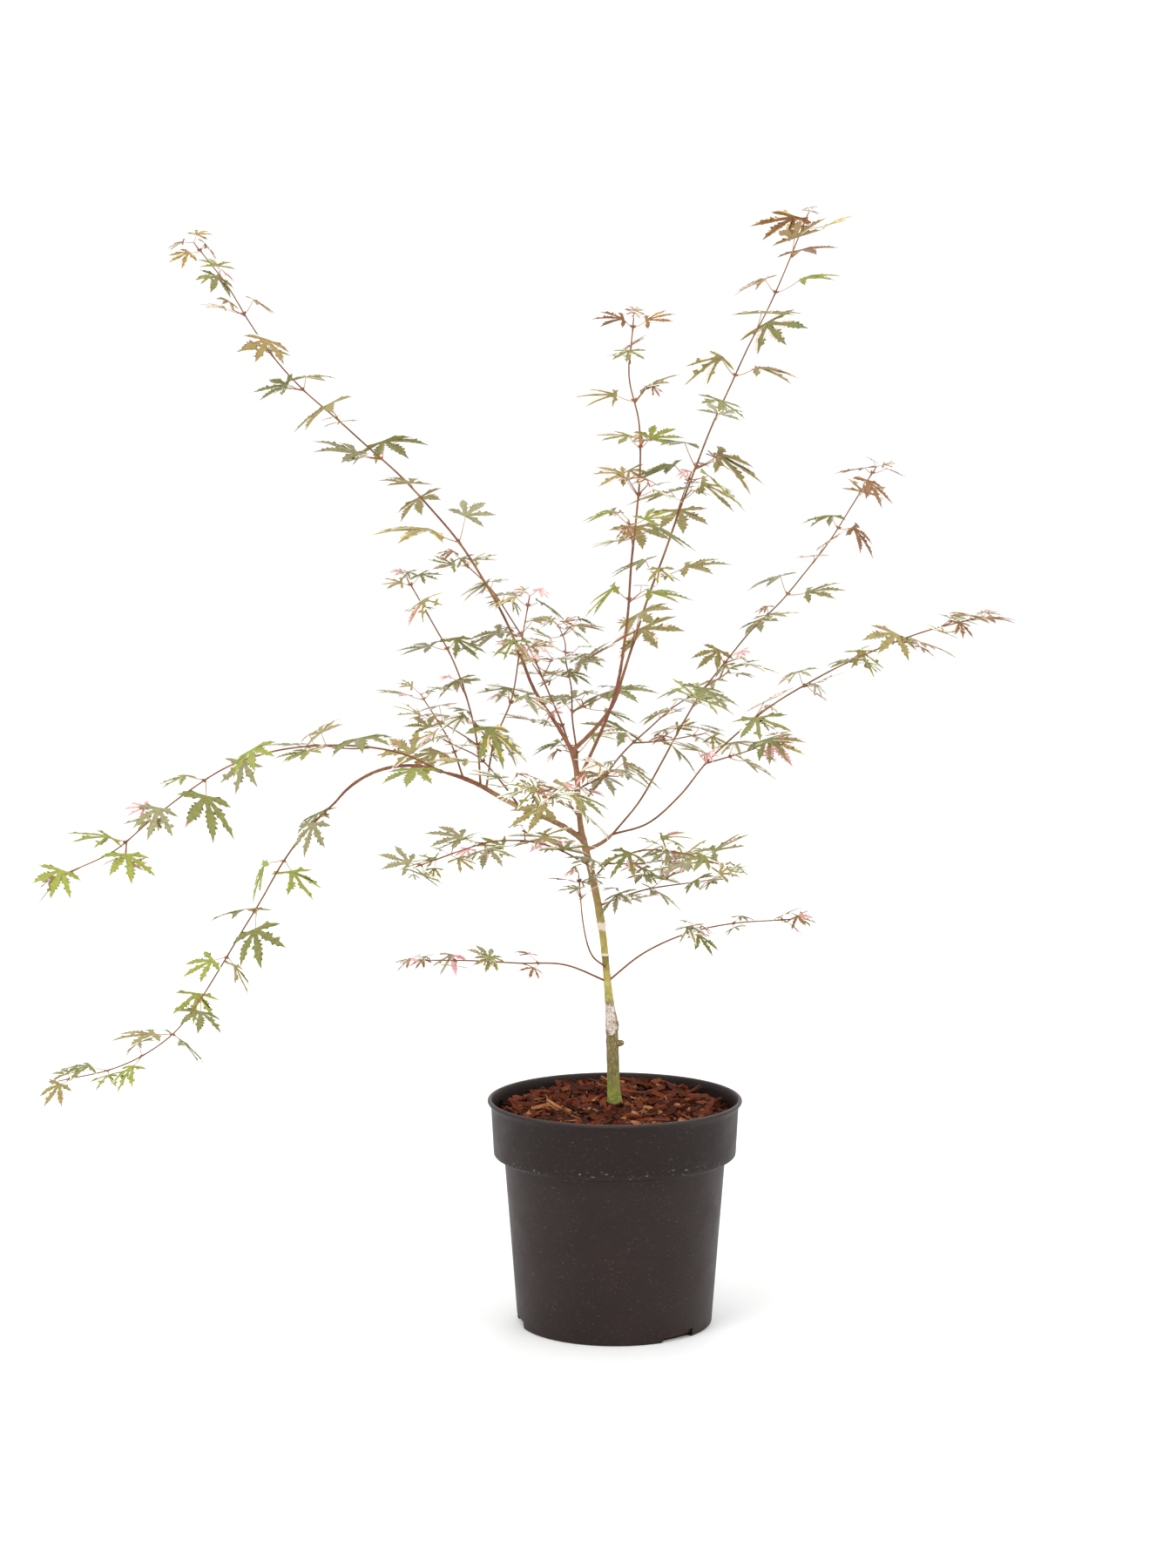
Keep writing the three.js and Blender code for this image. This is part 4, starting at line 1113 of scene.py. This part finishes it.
# ---------------------------------------------------------------- leaves
# Half a lobe's width as a share of the leaf's longest lobe, at shares of the lobe's own length.
LOBE_PROFILE = ((0.2, 0.058), (0.38, 0.092), (0.54, 0.11), (0.68, 0.09), (0.84, 0.046), (1.0, 0.0))
LOBE_ANGLES = (-BASE_LOBE_SPREAD, -LOBE_SPREAD, 0, LOBE_SPREAD, BASE_LOBE_SPREAD)
LOBE_REACHES = (BASE_LOBE, NEIGHBOUR_LOBE, 1.0, NEIGHBOUR_LOBE, BASE_LOBE)
NOTCH_REACHES = (0.13, 0.17, 0.17, 0.13)
BEHIND_FOOT = (-0.04, 0.0, 0.0, 0.0)  # where the blade ends behind its stalk
RIB_THICKNESS = 0.005                # how far the blade stands out at its ribs
CORE_THICKNESS = 0.0022              # and along the core's edge
TEETH_FROM, TEETH_TO = 0.3, 0.82     # where along a lobe its first and last tooth stand
NICK, TOOTH = 0.76, 1.25             # how far the edge draws in between the teeth and stands out at them


def half_lobe(notch, outer, tips, inner, green, ribs):
    """The faces of half a lobe on one side of the blade, as its coloured core and its pale margin.

    outer and inner are the edge and the core's edge at each nick, tips the teeth between them,
    green says which teeth have the core's colour, ribs are the foot, middle and end of the core's midrib
    and the lobe's point."""
    foot, middle, core_end, point = ribs
    count = len(tips)
    halfway = (count + 1) // 2
    path = [notch]
    split = None
    margins = []
    for i in range(count):
        start = outer[i] if green[i] else inner[i]
        if path[-1] is not start:
            path.append(start)
        if i == halfway:
            split = len(path) - 1
        if green[i]:
            path += [tips[i], outer[i + 1]]
            continue
        path.append(inner[i + 1])
        if i == 0 or green[i - 1]:
            margins.append(([outer[i]] if i else [notch, outer[i]], [inner[i]]))
        edge, line = margins[-1]
        edge += [tips[i], outer[i + 1]]
        line.append(inner[i + 1])
    if green[-1]:
        path.append(point)
    else:
        edge.append(point)
        line.append(core_end)
    path.append(core_end)
    cores = [[foot, *path]]
    if middle is not None:
        cores = [[foot, *path[:split + 1], middle], [middle, *path[split:]]]
    return cores, [edge + line[::-1] for edge, line in margins]


def leaf_pattern(seed, teeth, core_share, greenness, breadth=1.0, jitter=4.0):
    """One leaf's own outline, lobe by lobe, in shares of its longest lobe.

    Each lobe gives the faces of its coloured core and of its pale margin, as corners
    (along, aside, rise, reach): rise is the blade's own thickness and fold, reach sets how far it droops.
    greenness is the chance that a tooth has the core's colour."""
    roll = dice(seed)
    angles = [angle + roll(-jitter, jitter) for angle in LOBE_ANGLES]
    reaches = [min(1.0, reach * roll(0.9, 1.06)) for reach in LOBE_REACHES]
    notches = [BEHIND_FOOT]
    for k, away in enumerate(NOTCH_REACHES):
        turn = math.radians((angles[k] + angles[k + 1]) / 2)
        notches.append((away * math.cos(turn), away * math.sin(turn), 0.0, away ** 2))
    notches.append(BEHIND_FOOT)
    fold = roll(0.12, 0.34)
    lobes = []
    for k, (angle, reach) in enumerate(zip(angles, reaches)):
        heading = math.radians(angle)
        bend = roll(-0.09, 0.09) * reach
        share = core_share * roll(0.85, 1.12)
        broad = reach > 0.7
        count = teeth if broad else max(1, teeth - 3)

        def corner(at, aside, thick):
            bent = aside + bend * at * at
            along = at * reach
            return (along * math.cos(heading) - bent * math.sin(heading),
                    along * math.sin(heading) + bent * math.cos(heading),
                    fold * abs(aside) + thick, (along ** 2 + bent ** 2) / reach)

        core, margin = [], []
        steps = [mix(TEETH_FROM, TEETH_TO, i / count) for i in range(count + 1)]
        core_end = roll(0.88, 0.97)
        for sign, which in ((-1, k), (1, k + 1)):
            wide = breadth * (0.6 + 0.4 * reach) * sign
            nicks, tips, narrow = [], [], []
            for i, at in enumerate(steps):
                edge = on_profile(LOBE_PROFILE, at) * NICK * wide * roll(0.92, 1.08)
                nicks.append((at + roll(-0.012, 0.012), edge))
                narrow.append((at + 0.015, edge * min(0.94, share * roll(0.75, 1.2))))
                if i < count:
                    ahead = mix(at, steps[i + 1], 0.82)
                    tips.append((ahead, on_profile(LOBE_PROFILE, ahead) * TOOTH * wide * roll(0.85, 1.15)))
            green = [roll(0, 1) < greenness for _ in range(count)]
            for side in (1, -1):
                rib, rim = side * RIB_THICKNESS, side * CORE_THICKNESS
                middle = corner(steps[(count + 1) // 2], 0, rib) if broad else None
                ribs = ((0.0, 0.0, rib, 0.0), middle, corner(core_end, 0, rim), corner(1.0, 0, 0))
                outer = [corner(*spot, 0) for spot in nicks]
                teeth_tips = [corner(*spot, 0) for spot in tips]
                inner = [corner(*spot, rim) for spot in narrow]
                cores, margins = half_lobe(notches[which], outer, teeth_tips, inner, green, ribs)
                turn = -1 if sign * side > 0 else 1
                core += [face[::turn] for face in cores]
                margin += [face[::turn] for face in margins]
        lobes.append((core, margin))
    return lobes


def laid_out(faces, leaf):
    """A pattern's faces in place on a leaf: corners in millimetres and their faces."""
    along, aside, rise, reach = np.array([corner for face in faces for corner in face]).T
    size = leaf["size"]
    places = leaf["place"] + np.outer(along, leaf["pointing"]) * size + np.outer(aside, leaf["side"]) * size
    places = places + np.outer(rise - reach * leaf["droop"], leaf["face"]) * size
    shape = []
    count = 0
    for face in faces:
        shape.append(list(range(count, count + len(face))))
        count += len(face)
    return places, shape


LEAF_TINTS = {
    "leaf_grey_green": (tint(160, 154, 112), tint(138, 134, 95)),
    "leaf_deep_green": (tint(141, 140, 77), tint(118, 119, 63)),
    "leaf_fresh_green": (tint(162, 166, 74), tint(139, 145, 60)),
    "leaf_olive": (tint(168, 154, 92), tint(140, 126, 74)),
    "leaf_bronze": (tint(158, 114, 68), tint(130, 88, 50)),
    "leaf_gold": (tint(168, 141, 84), tint(142, 117, 66)),
    "margin_cream": (tint(253, 251, 244), tint(247, 243, 230)),
    "margin_blush": (tint(251, 234, 226), tint(241, 214, 202)),
    "margin_gold": (tint(232, 214, 160), tint(212, 186, 122)),
    "lobe_rose": (tint(234, 182, 180), tint(218, 148, 150)),
}


# Which leaves grow in each part of the crown: (name, upper end of its share of the chances).
CORE_SHARES = {
    "arch": (("leaf_fresh_green", 0.4), ("leaf_deep_green", 0.66), ("leaf_olive", 0.9),
             ("leaf_grey_green", 1)),
    "weeping": (("leaf_fresh_green", 0.4), ("leaf_deep_green", 0.78), ("leaf_olive", 0.9),
                ("leaf_grey_green", 1)),
    "inside": (("leaf_grey_green", 0.36), ("leaf_deep_green", 0.86), ("leaf_olive", 1)),
    "middle": (("leaf_fresh_green", 0.42), ("leaf_olive", 0.8), ("leaf_deep_green", 1)),
    "outer": (("leaf_olive", 0.52), ("leaf_deep_green", 0.76), ("leaf_fresh_green", 0.88),
              ("leaf_grey_green", 1)),
}
MARGIN_SHARES = (("margin_cream", 0.8), ("margin_blush", 0.94), ("margin_gold", 1))
NEW_MARGIN_SHARES = (("margin_gold", 0.5), ("margin_blush", 1))
KIND_SHARES = {
    "arch": (("broad", 1),),
    "weeping": (("broad", 1),),
    "inside": (("pale", 0.42), ("edged", 0.78), ("full", 1)),
    "middle": (("pale", 0.45), ("edged", 1)),
    "outer": (("pale", 0.2), ("edged", 0.55), ("full", 1)),
}


def dealt(chance, shares):
    """The name whose share of the chances this one falls in."""
    return next(name for name, end in shares if chance < end)


def crown_part(mass):
    """The part of the crown that a mass belongs to; its inside is dense and pale."""
    for part in ("arch", "weeping"):
        if part in mass:
            return part
    if any(word in mass for word in ("inner", "front", "back", "beside", "low")):
        return "inside"
    return "middle" if "middle" in mass else "outer"


def core_tint(leaf, chance):
    """Tints by part of the crown, with gold and bronze on the newest growth."""
    mass, share = leaf["mass"], leaf["share"]
    warm = "middle" in mass or "upper" in mass
    newest = (share - (0.6 if warm else 0.7)) * 2.6
    if any(word in mass for word in ("leader", "right_upper", "right_lower")) and chance < newest:
        gold = 0.15 if warm else 0.7 if share < 0.95 else 0.3
        return "leaf_gold" if chance < newest * gold else "leaf_bronze"
    return dealt(chance, CORE_SHARES[crown_part(mass)])


def margin_tint(leaf, chance):
    new = "leader" in leaf["mass"] and leaf["share"] > 0.8
    return dealt(chance, NEW_MARGIN_SHARES if new else MARGIN_SHARES)


def leaf_kinds():
    """Patterns by kind: they differ in how broad the coloured core is and how many teeth share its colour."""
    return {
        "full": [leaf_pattern(900 + k, 5, 0.92, 0.9) for k in range(6)],
        "edged": [leaf_pattern(910 + k, 5, 0.7, 0.5) for k in range(5)],
        "pale": [leaf_pattern(920 + k, 5, 0.4, 0.12) for k in range(4)],
        "broad": [leaf_pattern(930 + k, 5, mix(0.45, 0.92, k / 4), mix(0.2, 0.9, k / 4), 1.06)
                  for k in range(5)],
        "young": [leaf_pattern(940 + k, 3, 0.7, 0.6, 1.0, 7) for k in range(4)],
    }


TENDER_SIZE = 19                     # leaves smaller than this are young ones
PALE_TOP_FROM = 0.65                 # from here up the middle leader's leaves are pale or edged


def make_leaves(leaves, paints):
    """Every leaf from its kind's patterns, its cores and margins gathered by tint."""
    kinds = leaf_kinds()
    heaps = {name: [] for name in paints}
    for leaf in leaves:
        roll = dice(leaf["seed"] * 3 + 11)
        tender = leaf["size"] < TENDER_SIZE
        part = crown_part(leaf["mass"])
        rosier = part in ("inside", "middle")
        if part == "middle" and leaf["share"] <= PALE_TOP_FROM:
            part = "outer"
        kind = dealt(roll(0, 1), KIND_SHARES[part])
        lobes = one_of(kinds["young" if tender else kind], roll)
        core, margin = core_tint(leaf, roll(0, 1)), margin_tint(leaf, roll(0, 1))
        if tender and roll(0, 1) < 0.34:
            core, margin = "leaf_bronze" if roll(0, 1) < 0.7 else "lobe_rose", "margin_blush"
        rosy = int(roll(0, 5)) if roll(0, 1) < (0.3 if rosier else 0.06) else -1
        blush_through = roll(0, 1) < (0.25 if rosier else 0.1)
        for k, (blade, edge) in enumerate(lobes):
            rose = k == rosy or (k == rosy + 1 and rosy >= 0 and roll(0, 1) < 0.4)
            heaps["lobe_rose" if rose and blush_through else core].append(laid_out(blade, leaf))
            if edge:
                heaps["lobe_rose" if rose else margin].append(laid_out(edge, leaf))
    for name, heap in heaps.items():
        piece = joined(name, heap)
        weld(piece, 2e-6)
        settle(piece, paints[name], smooth=50)
        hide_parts(*FOLIAGE)


YOUNG_CLEAR, SHOOT_CLEAR = 1.1, 1.6  # how far young leaves and new twigs keep from all that stands


def grow_finer(limbs, twigs, sites, standing):
    """Young pairs at the tips and in many axils, on short new twigs that keep within the crown."""
    leaves = []
    shoots = {}
    tips = []
    for name in [*FOLIAGE, *twigs]:
        place, direction = spot_on(limbs.get(name) or twigs[name], 1)
        seed = 50000 + len(tips)
        outward = pair_direction(direction, len(tips))
        tips.append(dict(place=place, direction=direction, outward=outward, length=dice(seed)(7, 12),
                         mass=name.split("_twig")[0], own=name, share=1.0, seed=seed))
    for site in sites:
        roll = dice(site["seed"] + 70000)
        if roll(0, 1) < (0.62 if crown_part(site["mass"]) == "inside" else 0.3) and site["share"] < 0.97:
            lean = math.radians(roll(36, 54))
            away = unit(site["direction"] * math.cos(lean) + site["outward"] * math.sin(lean))
            tips.append(dict(place=site["place"], direction=away, outward=pair_direction(away, 0),
                             length=roll(4, 15), mass=site["mass"], own=site["own"], share=site["share"],
                             seed=site["seed"] + 80000))
    for tip in tips:
        roll = dice(tip["seed"] + 5)
        end = tip["place"] + tip["direction"] * tip["length"]
        start = tip["place"] + tip["direction"] * min(3.0, tip["length"] * 0.4)
        if not standing.clear([(start, end)], SHOOT_CLEAR, tip["own"]):
            continue
        own = f"shoot{len(shoots)}"
        pairs = []
        for half in (1, -1):
            leaf = grow_leaf(standing, end, tip["direction"], tip["outward"] * half, roll(12, 18),
                             tip["mass"], own, tip["seed"] * 2 + half + 300000, YOUNG_CLEAR)
            if leaf:
                pairs.append(dict(leaf, mass=tip["mass"], share=tip["share"]))
        if not pairs:
            continue
        standing.add(tip["place"], end, 0.6, own)
        middle = (tip["place"] + end) / 2 + tip["outward"] * tip["length"] * roll(-0.06, 0.06)
        shoots[own] = [tip["place"], middle, end]
        leaves += pairs
    return shoots, leaves


def make_stalks(leaves, flows, paint):
    """Leaf stalks from the stem to the blade, a little thicker at the foot and gently sagging."""
    tubes = []
    for leaf in leaves:
        root, place = leaf["root"], leaf["place"]
        if leaf["own"] in flows:
            root = nearest(flows[leaf["own"]], root)
        thick = 0.22 + 0.005 * leaf["size"]
        length = np.linalg.norm(place - root)
        points = []
        radii = []
        for share in (0, 0.12, 0.4, 0.7, 1):
            points.append(root + (place - root) * share - UP * length * 0.22 * share * (1 - share))
            radii.append(mix(thick * 1.5 if share == 0 else thick, thick * 0.72, share))
        points.append(place + leaf["pointing"] * leaf["size"] * 0.05 - leaf["face"] * 0.1)
        radii.append(thick * 0.3)
        tubes.append((points, radii))
    stalks = drawn_tubes("leaf_stalks", tubes, 6)
    settle(stalks, paint, smooth=60)
    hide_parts(*FOLIAGE)


def make_shoots_and_buds(shoots, sites, flows, paint):
    """The short new twigs, and a small pointed bud in each axil."""
    tubes = []
    for line in shoots.values():
        flow = smooth_line(line, 2.5)
        tubes.append((flow, girth_along(len(flow), 0.62, 0.4)))
    for site in sites:
        root = nearest(flows[site["own"]], site["place"])
        away = unit(site["direction"] * 0.8 + site["outward"] * 0.6)
        points = [root + away * reach for reach in (0.6, 1.5, 2.4, 3.4)]
        tubes.append((points, [0.5, 0.75, 0.6, 0.12]))
    piece = drawn_tubes("new_twigs_and_buds", tubes, 6)
    settle(piece, paint, smooth=60)
    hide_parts(*FOLIAGE)


# ---------------------------------------------------------------- the plant put together
make_pot(pot_plastic())
compost = bpy.data.objects["compost"]
compost.data.materials.clear()
compost.data.materials.append(potting_compost())
make_mulch_bed(chipped_bark("mulch_crumbs", tint(26, 13, 9), tint(66, 31, 19)))
make_chips({
    "chips_dark": chipped_bark("chips_dark", tint(44, 22, 14), tint(84, 42, 27)),
    "chips_red": chipped_bark("chips_red", tint(82, 36, 20), tint(142, 70, 40)),
    "chips_brown": chipped_bark("chips_brown", tint(66, 32, 18), tint(120, 62, 38)),
    "chips_pale": chipped_bark("chips_pale", tint(136, 76, 42), tint(204, 146, 100)),
})

limbs, twigs, sites, leaves, standing = grow_plant()
bark = stem_bark()
make_trunk_and_boughs(limbs, bark)
knot_stub(bark)
shoots, young_leaves = grow_finer(limbs, twigs, sites, standing)
leaves += young_leaves
flows = {name: smooth_line(line) for name, line in limbs.items() if name in FOLIAGE}
flows.update({name: smooth_line(line, 3) for name, line in twigs.items()})
joints = {name: {round(site["share"], 4) for site in sites if site["own"] == name} for name in FOLIAGE}
red_twig = young_bark("red_twig", tint(98, 54, 24), tint(144, 94, 48), tint(184, 146, 98))
stalk_skin = young_bark("stalk_skin", tint(158, 116, 78), tint(194, 154, 108), tint(214, 184, 140))
bud_skin = young_bark("bud_skin", tint(112, 60, 36), tint(152, 96, 58), tint(182, 130, 92))
make_stems(flows, joints, red_twig)
make_stalks(leaves, flows, stalk_skin)
make_shoots_and_buds(shoots, sites, flows, bud_skin)
make_leaves(leaves, {name: leaf_skin(name, *colours) for name, colours in LEAF_TINTS.items()})


# ---------------------------------------------------------------- floor, light and camera
def lay_floor():
    bare_hands()
    bpy.ops.mesh.primitive_circle_add(vertices=96, radius=40, fill_type="NGON")
    floor = bpy.context.object
    floor.name = "studio_floor"
    paint = Paint("studio_floor", Roughness=0.9, Specular_IOR_Level=0.1)
    paint.set("Base Color", paint.blend(paint.spots(3, 2), (0.94, 0.94, 0.94), (0.96, 0.96, 0.96)))
    floor.data.materials.append(paint.material)


def soft_light(name, place, aim, size, power):
    light = bpy.data.lights.new(name, "AREA")
    light.shape = "DISK"
    light.size = size
    light.energy = power
    lamp = bpy.data.objects.new(name, light)
    lamp.location = place
    lamp.rotation_euler = (Vector(aim) - Vector(place)).to_track_quat("-Z", "Y").to_euler()
    bpy.context.scene.collection.objects.link(lamp)


lay_floor()
soft_light("key", (-1.6, -2.2, 2.6), (0, 0, 0.4), 1.6, 40)
soft_light("fill", (2.2, -1.6, 1.4), (0, 0, 0.4), 1.8, 14)
soft_light("rim", (0.4, 2.4, 2.2), (0, 0, 0.5), 1.6, 16)
world = bpy.data.worlds.new("studio")
world.use_nodes = True
world.node_tree.nodes["Background"].inputs["Color"].default_value = (1, 1, 1, 1)
world.node_tree.nodes["Background"].inputs["Strength"].default_value = 1.1
bpy.context.scene.world = world
bpy.context.scene.view_settings.view_transform = "Standard"

camera = bpy.data.cameras.new("camera")
camera.lens = 78.26
camera.sensor_width = 36
camera.clip_end = 200
viewer = bpy.data.objects.new("camera", camera)
viewer.location = (-0.020, -2.500, 0.704)
viewer.rotation_euler = (math.radians(83.2), 0, 0)
bpy.context.scene.collection.objects.link(viewer)
bpy.context.scene.camera = viewer
